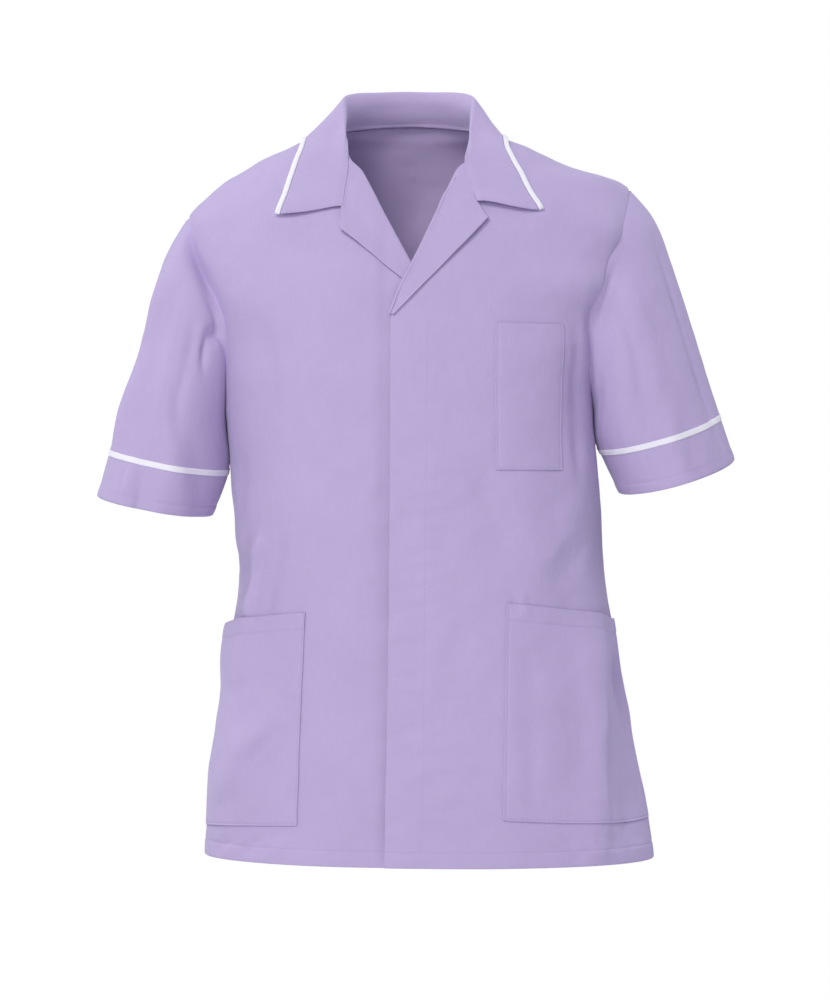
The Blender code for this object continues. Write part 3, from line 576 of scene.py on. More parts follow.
def makePiece(name, shape, finish, *nodes):
    # A smooth object from points, faces and flat cloth places, all in millimetres. Blender
    # gets metres; the flat places are its layer "cut", which carries the weave.
    points, faces, flats = shape
    mesh = bpy.data.meshes.new(name)
    corners = faces.tolist() if hasattr(faces, "tolist") else faces
    mesh.from_pydata((points * grain["metres"]).tolist(), [], corners)
    mesh.polygons.foreach_set("use_smooth", np.ones(len(mesh.polygons), bool))
    corner = np.zeros(len(mesh.loops), np.int32)
    mesh.loops.foreach_get("vertex_index", corner)
    layer = mesh.uv_layers.new(name="cut")
    layer.data.foreach_set("uv", (flats[corner] * grain["metres"]).astype(np.float32).ravel())
    mesh.materials.append(finish)
    mesh.update()
    piece = bpy.data.objects.new(name, mesh)
    bpy.context.scene.collection.objects.link(piece)
    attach(piece, "root")
    if nodes:
        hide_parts(*nodes)


# Finishes; their depths are in metres.

finishes = {
    "lilacTwill": {"colour": (0.568, 0.476, 0.706), "weaveDepth": 0.00012, "crumple": 0.0010,
                   "roughness": 0.84, "sheen": 0.18, "slot": "lilac_cloth"},
    "whiteTape": {"colour": (0.99, 0.99, 0.99), "weaveDepth": 0.00012, "crumple": 0.0003,
                  "roughness": 0.72, "sheen": 0.10, "slot": "white_trim"},
    "lilacThread": {"colour": (0.50, 0.41, 0.655), "weaveDepth": 0.00005, "crumple": 0.0002,
                    "roughness": 0.62, "sheen": 0.20, "slot": "lilac_cloth"},
    "threadsPerMetre": 2300.0,
    "repeat": 3.0,           # threads in one repeat of the twill
    "floatHeight": 0.30,
    "crossingHeight": 0.16,
    "slub": 0.35,
    "slubStretch": (9.0, 0.5, 1.0),
    "slubScale": 60.0,
    "slubDetail": 2.0,
    "mottleSize": 14.0,
    "mottle": {"Broad": (1.0, 2.0), "Fine": (7.0, 3.0)},  # how many times finer, and its detail
    "broadShade": 0.10,      # how much each shifts the colour
    # painted shade: the fine crumple's noise darkens the colour in its low spots
    "finePaintedShade": 0.05,
    # painted shade between the weave's floats
    "weavePaintedShade": 0.28,
    "weaveBump": 0.5,
    "crumpleBump": 0.6,
    "darkRoughness": 0.05,   # rougher between the floats, and smoother on them by gloss
    "gloss": -0.10,
    "sheenRoughness": 0.45,
    "specular": 0.22,
}


def newGroup(name, inputs, outputs):
    # A shader node group with named sockets.
    group = bpy.data.node_groups.new(name, "ShaderNodeTree")
    for socketName, kind, value in inputs:
        socket = group.interface.new_socket(socketName, in_out="INPUT", socket_type=kind)
        if value is not None:
            socket.default_value = value
    for socketName, kind in outputs:
        group.interface.new_socket(socketName, in_out="OUTPUT", socket_type=kind)
    return group, group.nodes.new("NodeGroupInput"), group.nodes.new("NodeGroupOutput")


def setInputs(tree, node, values):
    # Gives each input the socket that it reads, or its plain value.
    for place, value in dict(values).items():
        if isinstance(value, bpy.types.NodeSocket):
            tree.links.new(value, node.inputs[place])
        else:
            node.inputs[place].default_value = value


def addNode(tree, kind, values=(), **settings):
    # A shader node with its settings and input values.
    node = tree.nodes.new("ShaderNode" + kind)
    for setting, value in settings.items():
        setattr(node, setting, value)
    setInputs(tree, node, values)
    return node


def mathNode(tree, operation, *values):
    # One Math node; each operand is a socket or a number.
    return addNode(tree, "Math", enumerate(values), operation=operation).outputs[0]


def weaveGroup():
    # Twill: over-two-under-one floats as a diagonal sine, crossed by the warp's finer ribs;
    # Height rises on each float. The second output follows Height: it is painted shade, light on
    # the floats and darker between them where the weave's hollows lie in shade, and it also sets
    # gloss.
    group, given, result = newGroup(
        "twillWeave",
        [("Place", "NodeSocketVector", None),
         ("Threads", "NodeSocketFloat", finishes["threadsPerMetre"]),
         ("Slub", "NodeSocketFloat", finishes["slub"])],
        [("Height", "NodeSocketFloat"), ("ShadeAndGloss", "NodeSocketFloat")])

    def combine(operation, *values):
        return mathNode(group, operation, *values)

    place = given.outputs["Place"]
    across, along = addNode(group, "SeparateXYZ", {0: place}).outputs[:2]
    turns = combine("MULTIPLY", given.outputs["Threads"], 2 * np.pi / finishes["repeat"])
    diagonal = combine("SINE", combine("MULTIPLY", combine("ADD", across, along), turns))
    ribTurns = combine("MULTIPLY", turns, finishes["repeat"])
    ribs, weft = [combine("SINE", combine("MULTIPLY", way, ribTurns)) for way in (across, along)]
    stretch = addNode(group, "Mapping", {"Vector": place, "Scale": finishes["slubStretch"]})
    slub = addNode(group, "TexNoise", {"Vector": stretch.outputs[0], "Scale": finishes["slubScale"],
                                       "Detail": finishes["slubDetail"]})
    yarn = combine("MULTIPLY", combine("SUBTRACT", slub.outputs[0], 0.5), given.outputs["Slub"])
    height = combine("MULTIPLY_ADD", diagonal, finishes["floatHeight"], 0.5)
    crossings = combine("MULTIPLY", ribs, weft)
    height = combine("MULTIPLY_ADD", crossings, finishes["crossingHeight"], height)
    height = combine("ADD", height, yarn)
    shadeAndGloss = combine("MULTIPLY_ADD", combine("SUBTRACT", height, 0.5), 0.5, 0.5)
    setInputs(group, result, {"Height": height, "ShadeAndGloss": shadeAndGloss})
    return group


# Two sizes of noise over the object's own place: Broad is uneven dye, and Fine is the soft
# crumple's height, which also paints shade into the colour, darker in its low spots.
def mottleGroup():
    # Uneven dye and soft crumple: two sizes of noise over the object's own place.
    group, given, result = newGroup(
        "softMottle",
        [("Place", "NodeSocketVector", None),
         ("Size", "NodeSocketFloat", finishes["mottleSize"])],
        [(name, "NodeSocketFloat") for name in finishes["mottle"]])
    for name, (factor, detail) in finishes["mottle"].items():
        size = mathNode(group, "MULTIPLY", given.outputs["Size"], factor)
        noise = addNode(group, "TexNoise", {"Vector": given.outputs["Place"], "Scale": size,
                                            "Detail": detail})
        setInputs(group, result, {name: noise.outputs[0]})
    return group


def clothFinish(name):
    # Cloth: the broad mottle shifts the colour a little as uneven dye; the weave and the fine
    # crumple paint shade into the colour, darker in their hollows, and bump the surface; a slight
    # sheen.
    look = finishes[name]
    made = bpy.data.materials.new(name)
    made.use_nodes = True
    tree = made.node_tree
    place = addNode(tree, "TexCoord").outputs["Object"]
    cut = addNode(tree, "UVMap", uv_map="cut").outputs[0]
    threads = addNode(tree, "Group", node_tree=twill)
    setInputs(tree, threads, {"Place": cut, "Threads": finishes["threadsPerMetre"]})
    spots = addNode(tree, "Group", {"Place": place}, node_tree=mottle)
    shadeAndGloss = threads.outputs["ShadeAndGloss"]
    light = 1.0
    # Painted shade: the weave's second output and the fine crumple darken the colour in their
    # hollows; the broad mottle is uneven dye.
    for value, share in ((spots.outputs["Broad"], finishes["broadShade"]),
                         (spots.outputs["Fine"], finishes["finePaintedShade"]),
                         (shadeAndGloss, finishes["weavePaintedShade"])):
        light = mathNode(tree, "MULTIPLY_ADD", mathNode(tree, "SUBTRACT", value, 0.5), share, light)
    grey = addNode(tree, "CombineColor", {0: light, 1: light, 2: light})
    shade = addNode(tree, "Mix", {0: 1.0}, data_type="RGBA", blend_type="MULTIPLY")
    setInputs(tree, shade, {6: (*look["colour"], 1), 7: grey.outputs[0]})  # its two colours
    weaveBump = addNode(tree, "Bump", {
        "Strength": finishes["weaveBump"], "Distance": look["weaveDepth"],
        "Height": threads.outputs["Height"]})
    crumpleBump = addNode(tree, "Bump", {
        "Strength": finishes["crumpleBump"], "Distance": look["crumple"],
        "Height": spots.outputs["Fine"], "Normal": weaveBump.outputs[0]})
    rough = look["roughness"] + finishes["darkRoughness"]
    setInputs(tree, tree.nodes["Principled BSDF"], {
        "Base Color": shade.outputs[2],
        "Normal": crumpleBump.outputs[0],
        "Roughness": mathNode(tree, "MULTIPLY_ADD", shadeAndGloss, finishes["gloss"], rough),
        "Sheen Weight": look["sheen"],
        "Sheen Roughness": finishes["sheenRoughness"],
        "Specular IOR Level": finishes["specular"]})
    return made


twill = weaveGroup()
mottle = mottleGroup()
lilacCloth, whiteTrim, threadFinish = map(clothFinish, ("lilacTwill", "whiteTape", "lilacThread"))
print("stage: finishes made")

# Stitches.

stitch = {
    "pitch": 3.1,      # from one stitch to the next
    "length": 2.5,
    "thick": 0.42,
    "sink": 0.30,      # how much lower its ends lie
    "look": 0.8,       # how far to each side the row's direction is read
    "rings": (-0.5, -0.36, 0.0, 0.36, 0.5),
    "girth": (0.35, 0.85, 1.0, 0.85, 0.35),
    "sides": 5,
}


def stitchRow(path, facing):
    # Spindles at even steps along a path: rings of shrinking girth along its direction,
    # sinking at the ends, with a closed cap at each end.
    run = runOf(path)
    count = max(int((run[-1] - stitch["pitch"] * 0.5) / stitch["pitch"]), 1)
    at = (np.arange(count) + 0.5) * run[-1] / count
    centre = readAt(at, run, path)
    normal = unit(readAt(at, run, facing))
    ahead = readAt(at + stitch["look"], run, path) - readAt(at - stitch["look"], run, path)
    ahead = unit(ahead - normal * np.sum(ahead * normal, axis=1, keepdims=True))
    aside = np.cross(normal, ahead)
    along = np.array(stitch["rings"])
    girth = np.array(stitch["girth"]) * stitch["thick"] / 2
    swing = np.linspace(0, 2 * np.pi, stitch["sides"], endpoint=False)
    base = (centre[:, None] + ahead[:, None] * (along * stitch["length"])[None, :, None]
            - normal[:, None] * ((2 * along) ** 2 * stitch["sink"])[None, :, None])
    points = (base[:, :, None]
              + aside[:, None, None] * (np.cos(swing)[None] * girth[:, None])[None, :, :, None]
              + normal[:, None, None] * (np.sin(swing)[None] * girth[:, None])[None, :, :, None])
    index = np.arange(len(along) * len(swing)).reshape(len(along), len(swing))
    after = np.roll(index, -1, axis=1)
    quads = np.stack([index[:-1], index[1:], after[1:], after[:-1]], -1).reshape(-1, 4)
    shift = (np.arange(count) * index.size)[:, None, None]
    faces = (quads[None] + shift).reshape(-1, 4).tolist()
    faces += (index[0][None] + shift[:, 0]).tolist()
    faces += (index[-1][::-1][None] + shift[:, 0]).tolist()
    return points.reshape(-1, 3), faces


def stitchPiece(name, rowsOfStitches):
    # Several rows of stitches in one piece.
    points = []
    faces = []
    start = 0
    for path, facing in rowsOfStitches:
        rowPoints, rowFaces = stitchRow(path, facing)
        points.append(rowPoints)
        faces += [[corner + start for corner in face] for face in rowFaces]
        start += len(rowPoints)
    points = np.concatenate(points)
    makePiece(name, (points, faces, points[:, (0, 2)]), threadFinish)


# Body panels.


def clothOut(angle, z, turned, side=1):
    # How far the cloth of a front (1) or the back (-1) lies out from the body's smooth form:
    # creases and unevenness that die away at the side seams, and folds; on the fronts also
    # the fastening's puckers, and the drop of the right front under the left one.
    points = bodyPlace(angle, z)
    x = points[..., 0]
    name = "front" if side > 0 else "back"
    seed = body["seeds"][name]
    out = creaseHeight(x, z, creases[name], seed)
    out += cloth["unevenHeight"] * waves(x, z, cloth["unevenSize"], seed + 4)
    out += cloth["fineHeight"] * waves(x, z, cloth["fineSize"], seed + 5)
    fromSide = 90 - np.abs(angle if side > 0 else angle - 180)
    out *= ease(fromSide / body["creaseFade"])
    out += foldHeight(points, folds[name]) * ease(fromSide / body["foldFade"])
    if side < 0:
        return out
    lap = bell(x - body["lapMiddle"], cloth["lapReach"])
    lap = lap * ease((body["lapTop"] - z) / body["lapFade"])
    wide, tall = cloth["lapStretch"]
    puckers = waves(x * wide, z * tall, cloth["lapSize"], body["seeds"]["lap"])
    out += cloth["lapPucker"] * puckers * lap
    if turned < 0:
        fromEdge = x + body["overlap"]
        out -= body["underlapDrop"] * ease((fromEdge + body["underlapFade"]) / body["underlapFade"])
        out -= body["edgeDip"] * ease((fromEdge + body["edgeDipReach"]) / body["edgeDipReach"])
    return out


def groove(distance):
    # The channel that a row of stitches draws.
    return -cloth["grooveDepth"] * bell(distance, cloth["grooveWidth"])


def pucker(along, distance, seed):
    # Small waves beside a seam, dying away from it.
    size = cloth["puckerHeight"] * bell(distance, cloth["puckerReach"])
    away = distance * cloth["puckerDrift"]
    return waves(along, away, cloth["puckerSize"], seed, cloth["puckerWaves"]) * size


def hemRelief(run, up, piece):
    # The turned-up hem, up above its edge: a slightly proud band below its row of stitches.
    fromRow = up - piece["hemStitch"]
    band = piece["hemPuff"] * ease(up / piece["hemRise"]) * ease(-fromRow / cloth["hemFall"])
    return band + groove(fromRow) + pucker(run, fromRow, piece["hemSeed"])


def frontPoint(flat, turned, lift=0.0):
    # Point and normal on a front panel from its unrolled place.
    angle, z = rollUp(flat)
    return bodyPoint(angle, z, clothOut(angle, z, turned) + lift), bodyNormal(angle, z)


def panelShape(first, last, top, tall, cell, turned, side):
    # Coons patch between a panel's lines, laid on the body and moved out by its folds, its
    # hem and the dip beside its side seams.
    first[-1] = top[0]
    last[-1] = top[-1]
    bottom = np.linspace(first[0], last[0], len(top))
    rows = sharesOf(tall, marks=(body["hemStitch"],))
    columns = sharesOf(abs(last[0, 0] - first[0, 0]), cell=cell)
    flat = facingOut(coonsGrid(bottom, top, first, last, columns, rows), turned)
    angle, z = rollUp(flat, side)
    sideRun = quarterLength(z, side) - np.abs(flat[..., 0])
    out = clothOut(angle, z, turned, side) + hemRelief(flat[..., 0], z - body["hemZ"], body)
    if side > 0:
        out -= body["seamDip"] * ease(1 - sideRun / body["seamDipReach"])
    else:
        out -= body["backSeamDip"] * bell(sideRun, body["backSeamDipReach"])
    out += pucker(z, sideRun, body["seamSeed"][side])
    return shellMesh(bodyPoint(angle, z, out), flat, cloth["wall"], normal=bodyNormal(angle, z))


def stepCount(name):
    # Number of points along one stretch of a panel's outline.
    return body["steps"][name] * body["fine"]


def frontPanel(turned):
    # From front edge, break line and neck on one side to side seam and armhole on the other.
    edge, neck, armhole = [lines[name][turned] for name in ("edge", "neck", "armholeFront")]
    underarmZ = armhole[0][1]
    level = underarmZ - body["rowRise"]
    top = evenLine(seamLine(neck[-1][1], armhole[-1][1], grain["seamSteps"], turned),
                   stepCount("shoulder"), smooth=False)
    first = joinLines(levelLine(edge, body["hemZ"], level, stepCount("hem")),
                      levelLine(edge, level, edge[-1][1], stepCount("level")),
                      seenLine(lines["break"][turned], stepCount("break")),
                      seenLine(neck, stepCount("neck")))
    last = joinLines(seamLine(body["hemZ"], underarmZ, stepCount("hem"), turned),
                     seenLine(armhole, stepCount("armhole")))
    return panelShape(first, last, top, body["frontTall"], cloth["cell"], turned, 1)


def backPanel():
    # From the left side seam round to the right one.
    neckZ = lines["backNeck"][0][1]
    shoulders = []
    sides = []
    for turned in (1, -1):
        armhole = lines["armholeBack"][turned]
        ends = (armhole[0][1], neckZ)[::turned]
        shoulders.append(evenLine(seamLine(*ends, grain["seamSteps"], turned, -1),
                                  stepCount("backShoulder"), smooth=False))
        sides.append(joinLines(
            seamLine(body["hemZ"], lines["armholeBack"][1][-1][1], stepCount("hem"), turned, -1),
            seenLine(armhole[::-1], stepCount("backArmhole"), -1)))
    top = joinLines(shoulders[0], seenLine(lines["backNeck"][::-1], stepCount("backNeck"), -1),
                    shoulders[1])
    return panelShape(*sides, top, body["backTall"], body["backCell"], 1, -1)


makePiece("clothFrontLeft", frontPanel(1), lilacCloth, "front_left")
makePiece("clothFrontRight", frontPanel(-1), lilacCloth, "front_right")
makePiece("clothBack", backPanel(), lilacCloth, "back")
print("stage: body panels made")

# Sleeves and braids.

sleeve = {
    "columns": ("at", "outerX", "outerZ", "innerX", "innerZ", "front", "back", "dip"),
    1: (
        (0.10, 237.5, -83, 182.5, -282, 66, 70, 0),
        (0.25, 254, -120, 183.6, -290, 70, 73, 2),
        (0.50, 276, -190, 184.3, -309, 71, 74, 5),
        (0.75, 298, -258, 195.0, -333, 70, 72, 8),
        (1.00, 323, -331, 209, -364, 68, 70, 10),
    ),
    -1: (
        (0.10, -236, -114, -184.5, -284, 66, 70, 0),
        (0.25, -251, -150, -184, -294, 70, 73, 1),
        (0.50, -270, -222, -182.5, -315, 71, 74, 3),
        (0.75, -290, -293, -183.5, -346, 70, 72, 4),
        (1.00, -312, -367, -198, -387, 68, 70, 6),
    ),
    "around": 144,
    "turnIn": {1: 0.03, -1: 0.22},  # how far the front face turns towards the body
    "onTop": 2.4,
    "onTopFrom": 0.84,
    "tuck": 2.0,            # how far its seam edge dips in behind the panels
    "under": 2.2,           # and how far it runs on below them
    "tuckReach": 5.5,
    "hollow": 18.0,         # how far its head bends in towards the body, and less behind
    "backHollow": 0.6,
    "mid": 2.0,
    "cell": 3.8,
    "unevenHeight": 0.45,
    "unevenSize": 80,
    "swirl": 60,            # radius at which unevenness is read round the sleeve
    "swirlDown": 0.8,
    "seed": 12,             # each plus or less one for left and right
    "fineSeed": 15,
    "creaseSeed": 2,
    "seamStart": 1,         # how soon creases rise below the seam
    "seamFade": 9,
    "hemStitch": 11.0,
    "hemPuff": 0.4,
    "hemRise": 4.0,
    "hemSeed": 41,
    "hemGridRow": -4,       # line of the grid beside the hem's stitches
    "threadLift": 0.02,
    "threadBand": 0.01,
    "bandRows": 7,
    "braidWidth": 6.0,
    "braidThick": 0.6,
    "braidHeight": 46.0,
    "lieGap": 0.12,
}

# Sleeve creases: X is millimetres round the sleeve from its top line towards the front,
# Z is millimetres down from the armhole.
sleeveCreases = {
    1: (
        (35, 44, 42, 262, -3, 7, -2.2, 0.3),
        (14, 40, 18, 262, 0, 13, 1.6, 0.0),
        (62, 60, 56, 250, 5, 18, 0.9, 0.0),
        (106, 20, 96, 150, 5, 14, 1.0, 0.2),
        (128, 30, 118, 180, 3, 11, -1.5, 0.0),
        (104, 13, 172, 9, 0, 4, -1.4, 0.0),
        (96, 150, 90, 262, -4, 12, 1.8, 0.0),
        (114, 190, 124, 268, 2, 15, 2.6, 0.2),
        (-60, 40, -70, 220, 6, 16, -2.2, 0.0),
        (-110, 30, -104, 180, -5, 12, 2.4, 0.2),
        (-30, 120, -26, 250, 4, 14, 1.5, 0.0),
    ),
    -1: (
        (44, 22, 36, 258, -4, 15, 4.4, 0.35),
        (74, 50, 66, 230, 5, 18, -1.6, 0.0),
        (98, 30, 92, 150, 5, 11, 1.2, 0.2),
        (118, 40, 108, 150, 3, 9, -1.6, 0.0),
        (104, 16, 168, 9, 0, 4, -1.8, 0.0),
        (114, 120, 120, 264, 0, 22, 3.8, 0.35),
        (88, 205, 96, 266, 0, 7, -2.2, 0.2),
        (76, 208, 80, 268, 0, 6, 1.9, 0.0),
        (148, 6, 134, 56, 0, 9, -3.4, 0.0),
        (-60, 40, -66, 220, 6, 16, -2.2, 0.0),
        (-108, 30, -102, 180, -5, 12, 2.4, 0.2),
        (-30, 110, -34, 250, 4, 14, 1.5, 0.0),
    ),
}


def armholeLoop(turned, count):
    # The armhole seam in space, and which way its cloth tucks in: from the tip down the
    # front, under the arm and up the back. It lies on the panels low down and in them above.
    halves = []
    tucks = []
    for name, side in (("armholeFront", 1), ("armholeBack", -1)):
        line = seenLine(lines[name][turned][::-1], grain["lineSteps"], side)
        angle, z = rollUp(line, side)
        share = np.linspace(0, 1, len(z))[::side]
        low = ease((share - sleeve["onTopFrom"]) / (1 - sleeve["onTopFrom"]))
        seam = bodyPoint(angle, z, clothOut(angle, z, turned, side) + sleeve["onTop"] * low)
        around = unit(bodyAround(angle, z))
        inward = -bodyNormal(angle, z) * sleeve["tuck"] - side * turned * around * sleeve["under"]
        inward = inward * (1 - low)[:, None]
        both = evenLine(np.concatenate([seam, inward], axis=1), count // 2, smooth=False)
        halves.append(both[:, :3])
        tucks.append(both[:, 3:])
    loop = np.concatenate([halves[0][:-1], halves[1][:-1]])
    loop[0] = (halves[0][0] + halves[1][-1]) / 2
    loop[count // 2] = (halves[0][-1] + halves[1][0]) / 2
    return loop, np.concatenate([tucks[0][:-1], tucks[1][:-1]])


def sleeveStations(turned):
    # Rings of points down the sleeve, the armhole seam and then tilted ovals, with the
    # share of its length at each; the seam's tuck comes last.
    count = sleeve["around"]
    swing = np.linspace(0, 2 * np.pi, count, endpoint=False)
    over = np.cos(swing)
    ahead = np.sin(swing)
    seam, tuck = armholeLoop(turned, count)
    stations = [seam]
    places = [0.0]
    for row in sleeve[turned]:
        part = dict(zip(sleeve["columns"], row))
        outer = np.array([part["outerX"], part["outerZ"]], float)
        inner = np.array([part["innerX"], part["innerZ"]], float)
        middle = (outer + inner) / 2
        reach = (outer - inner) / 2
        left = 1 - part["at"]
        depth = np.where(ahead > 0, part["front"], part["back"])
        hollow = sleeve["hollow"] * left ** 2 * np.where(ahead > 0, 1.0, sleeve["backHollow"])
        face = np.where(ahead > 0, 1 + sleeve["turnIn"][turned] * over, 1.0)
        stations.append(np.stack([middle[0] + reach[0] * over - turned * hollow * ahead ** 2,
                                  sleeve["mid"] * left - depth * ahead * face,
                                  middle[1] + reach[1] * over - part["dip"] * ahead], -1))
        places.append(part["at"])
    return np.stack(stations), places, tuck


def sleeveGrid(turned):
    # A spline from each armhole point through the stations, then moved out by its creases,
    # hem band and stitches.
    stations, places, tuck = sleeveStations(turned)
    length = np.linalg.norm(np.diff(stations, axis=0), axis=-1).sum(axis=0)
    typical = length.mean()
    shares = sharesOf(typical, marks=(typical - sleeve["hemStitch"],), cell=sleeve["cell"])
    grid = np.stack([spline(places, stations[:, index], start + (1 - start) * shares)
                     for index, start in enumerate(cloth["seamGap"] / length)])
    down = np.stack([runOf(column) for column in grid])
    grid = grid + tuck[:, None] * ease(1 - down / sleeve["tuckReach"])[..., None]
    around = np.linalg.norm(np.diff(np.concatenate([grid, grid[:1]]), axis=0), axis=-1)
    around = np.cumsum(around, axis=0)
    total = around[-1]
    around = np.concatenate([np.zeros_like(around[:1]), around[:-1]])
    signed = np.where(around > total / 2, around - total, around)
    grid, signed, down = [facingOut(part, turned) for part in (grid, signed, down)]
    up = down[:, -1:] - down
    across = np.cos(signed / total * 2 * np.pi) * sleeve["swirl"]
    deep = np.sin(signed / total * 2 * np.pi) * sleeve["swirl"]
    sloping = deep + down * sleeve["swirlDown"]
    uneven = waves(across, sloping, sleeve["unevenSize"], sleeve["seed"] + turned)
    fine = waves(across, deep + down, cloth["fineSize"], sleeve["fineSeed"] + turned)
    relief = creaseHeight(signed, down, sleeveCreases[turned], sleeve["creaseSeed"])
    relief += sleeve["unevenHeight"] * uneven
    relief += cloth["fineHeight"] * fine
    relief *= ease((down - sleeve["seamStart"]) / sleeve["seamFade"])
    relief += hemRelief(signed, up, sleeve)
    grid = grid + gridNormal(grid, ring=True) * relief[..., None]
    return grid, np.stack([signed, -down], -1), up


def bandRound(grid, heights, low, high, lift):
    # A strip round a sleeve between two heights above its hem, lifted off the cloth.
    wanted = np.linspace(high, low, sleeve["bandRows"])
    return np.stack([readAt(wanted, up[::-1], points[::-1])
                     + readAt(wanted, up[::-1], facing[::-1]) * lift
                     for points, facing, up in zip(grid, gridNormal(grid, ring=True), heights)])


for turned, sideName in ((1, "left"), (-1, "right")):
    grid, flat, heights = sleeveGrid(turned)
    title = sideName.capitalize()
    makePiece("clothSleeve" + title, shellMesh(grid, flat, cloth["wall"], ring=True), lilacCloth,
              "sleeve_" + sideName)
    half = sleeve["braidWidth"] / 2
    lift = cloth["wall"] / 2 + sleeve["lieGap"] + sleeve["braidThick"] / 2
    band = bandRound(grid, heights, sleeve["braidHeight"] - half, sleeve["braidHeight"] + half,
                     lift)
    across = np.linspace(half, -half, sleeve["bandRows"])
    bandFlat = np.stack(np.broadcast_arrays(flat[:, :1, 0], across[None]), -1)
    makePiece("tapeSleeve" + title, shellMesh(band, bandFlat, sleeve["braidThick"], ring=True),
              whiteTrim, "sleeve_braid_" + sideName)
    seam = bandRound(grid, heights, sleeve["hemStitch"], sleeve["hemStitch"] + sleeve["threadBand"],
                     cloth["wall"] / 2 + sleeve["threadLift"])[:, 0]
    facing = gridNormal(grid, ring=True)[:, sleeve["hemGridRow"]]
    path = [np.concatenate([part, part[:1]]) for part in (seam, facing)]
    stitchPiece("stitchSleeveHem" + title, [path])
print("stage: sleeves made")

# Collar, piping and revers.

collar = {
    "wall": 1.6,
    # Stations: fold x, y, z; neck seam x, y, z; leaf edge x, y; and how flat the collar lies.
    "right": (
        (-67.2, -91, -87, -65.0, -91, -87, -125.0, -84.8, 1.0),
        (-65.0, -75, -66, -62.8, -75, -66, -119.4, -74.3, 1.0),
        (-62.7, -62, -46, -60.4, -62, -46, -114.5, -60.0, 1.0),
        (-62.5, -54, -31.5, -60.5, -54, -34, -111.0, -52.4, 0.7),
        (-64.0, -43, -18, -61.5, -45, -24, -107.5, -45.2, 0.35),
        (-63.5, -25, -2, -66.0, -27, -13, -104.0, -34.0, 0.1),
        (-63.5, -8, 13, -72.0, -10, -5.5, -101.5, -14.0, 0.0),
        (-64.0, 6, 26, -73.5, 6, -2.5, -100.0, 6.0, 0.0),
        (-61.0, 25, 35, -68.0, 30, -0.5, -97.0, 36.0, 0.0),
        (-51.0, 41, 39, -56.0, 48, 2.5, -85.0, 60.0, 0.0),
        (-30.0, 55, 41.7, -34.0, 67, 6.7, -49.0, 82.0, 0.0),
    ),
    "back": (0, 62, 43, 0, 75, 9, 0, 90, 0),
    "left": (
        (66.8, -90, -84, 64.6, -90, -84, 124.5, -84.2, 1.0),
        (62.2, -78, -68, 60.0, -78, -68, 116.0, -78.0, 1.0),
        (58.2, -68, -52, 56.0, -68, -52, 110.0, -70.3, 1.0),
        (56.0, -58, -37, 53.8, -59, -40, 104.0, -60.8, 0.7),
        (59.5, -45, -20, 57.0, -47, -26, 97.5, -49.0, 0.35),
        (59.0, -25, -3, 62.5, -27, -13, 92.0, -33.0, 0.1),
        (60.0, -8, 12, 69.5, -10, -5.5, 91.0, -14.0, 0.0),
        (61.5, 6, 26, 73.0, 6, -2.5, 89.5, 6.0, 0.0),
        (58.5, 25, 35, 66.0, 30, -0.5, 87.0, 36.0, 0.0),
        (48.5, 41, 39, 54.0, 48, 2.5, 77.0, 60.0, 0.0),
        (28.0, 55, 41.7, 33.0, 67, 6.7, 45.0, 82.0, 0.0),
    ),
    "around": 176,
    "standRows": 16,
    "seamShares": (0.0, 0.025, 0.05, 0.08, 0.12),
    "seamRoll": 1.1,         # the neck seam's turnings, as a small roll inside
    "seamRollAt": 1.4,
    "seamRollWidth": 1.3,
    "seamRollRise": 0.7,
    "fallRows": 34,
    "lift": 4.0,
    "lowest": -150.0,        # height from which the body is searched
    "rollRadius": 2.2,
    "fullRollStand": 14.0,
    "seamGap": 0.1,
    "neckTuck": 0.3,         # the stand laps this far inside the panels at its seam
    "flatStand": 0.4,
    "flatFall": 0.08,
    "bulge": 0.4,
    "belly": 1.0,
    "spacing": 1.15,
    "standFrom": 0.18,       # where the even rows of the stand start
    "centre": (0.0, 10.0, 0.0),
    "pipingWidth": 5.5,
    "pipingThick": 2.6,
    "pipingSides": 20,
    "pipingTurn": 1.2,
    "pipingRows": 5,         # lines of the collar over which its direction is read
    "seed": 21,
    "unevenSize": 60,
    "unevenHeight": 0.35,
    "edgeFade": 8,
    "standCrease": 0.9,
    "standCreaseAt": 0.55,
    "standCreaseWidth": 0.16,
    "standCreaseHalf": 60,   # it ends this far from the middle, and is only behind the neck
    "standCreaseFade": 25,
    "standCreaseFrom": 20,
    "neckSettle": 1.1,       # the end's seam edge sinks onto the revers
    "settleReach": 7.0,
    "cornerLift": 2.4,       # leaf corners stand off the front
    "cornerReach": 46.0,
    "notchLift": 4.6,        # so does the lower edge beside the left notch
    "notchAt": 44,
    "notchReach": (20, 40),
}


def onBody(x, y, lift):
    # Point of the shoulders or chest over a place in plan, by halving the height.
    low = np.full(x.shape, collar["lowest"])
    high = np.full(x.shape, bodyForm["z"][-1])
    for _ in range(grain["halvings"]):
        z = (low + high) / 2
        row = sectionAt(z)
        across = (x - row["centre"]) / row["half"]
        deep = (y - row["mid"]) / np.where(y < row["mid"], row["front"], row["back"])
        inside = np.abs(across) ** row["power"] + np.abs(deep) ** row["power"] < 1
        low = np.where(inside, z, low)
        high = np.where(inside, high, z)
    angle = np.degrees(np.arctan2(across, -deep))
    return bodyPoint(angle, z, np.full(x.shape, lift))


def onFront(points):
    # The leaf's place on the front where each point is seen.
    x = points[..., 0]
    z = points[..., 2]
    back = bodyNormal(angleAt(x, z), z) * collar["lift"]
    x = x - back[..., 0]
    z = z - back[..., 2]
    return bodyPoint(angleAt(x, z), z, np.full(z.shape, collar["lift"]))


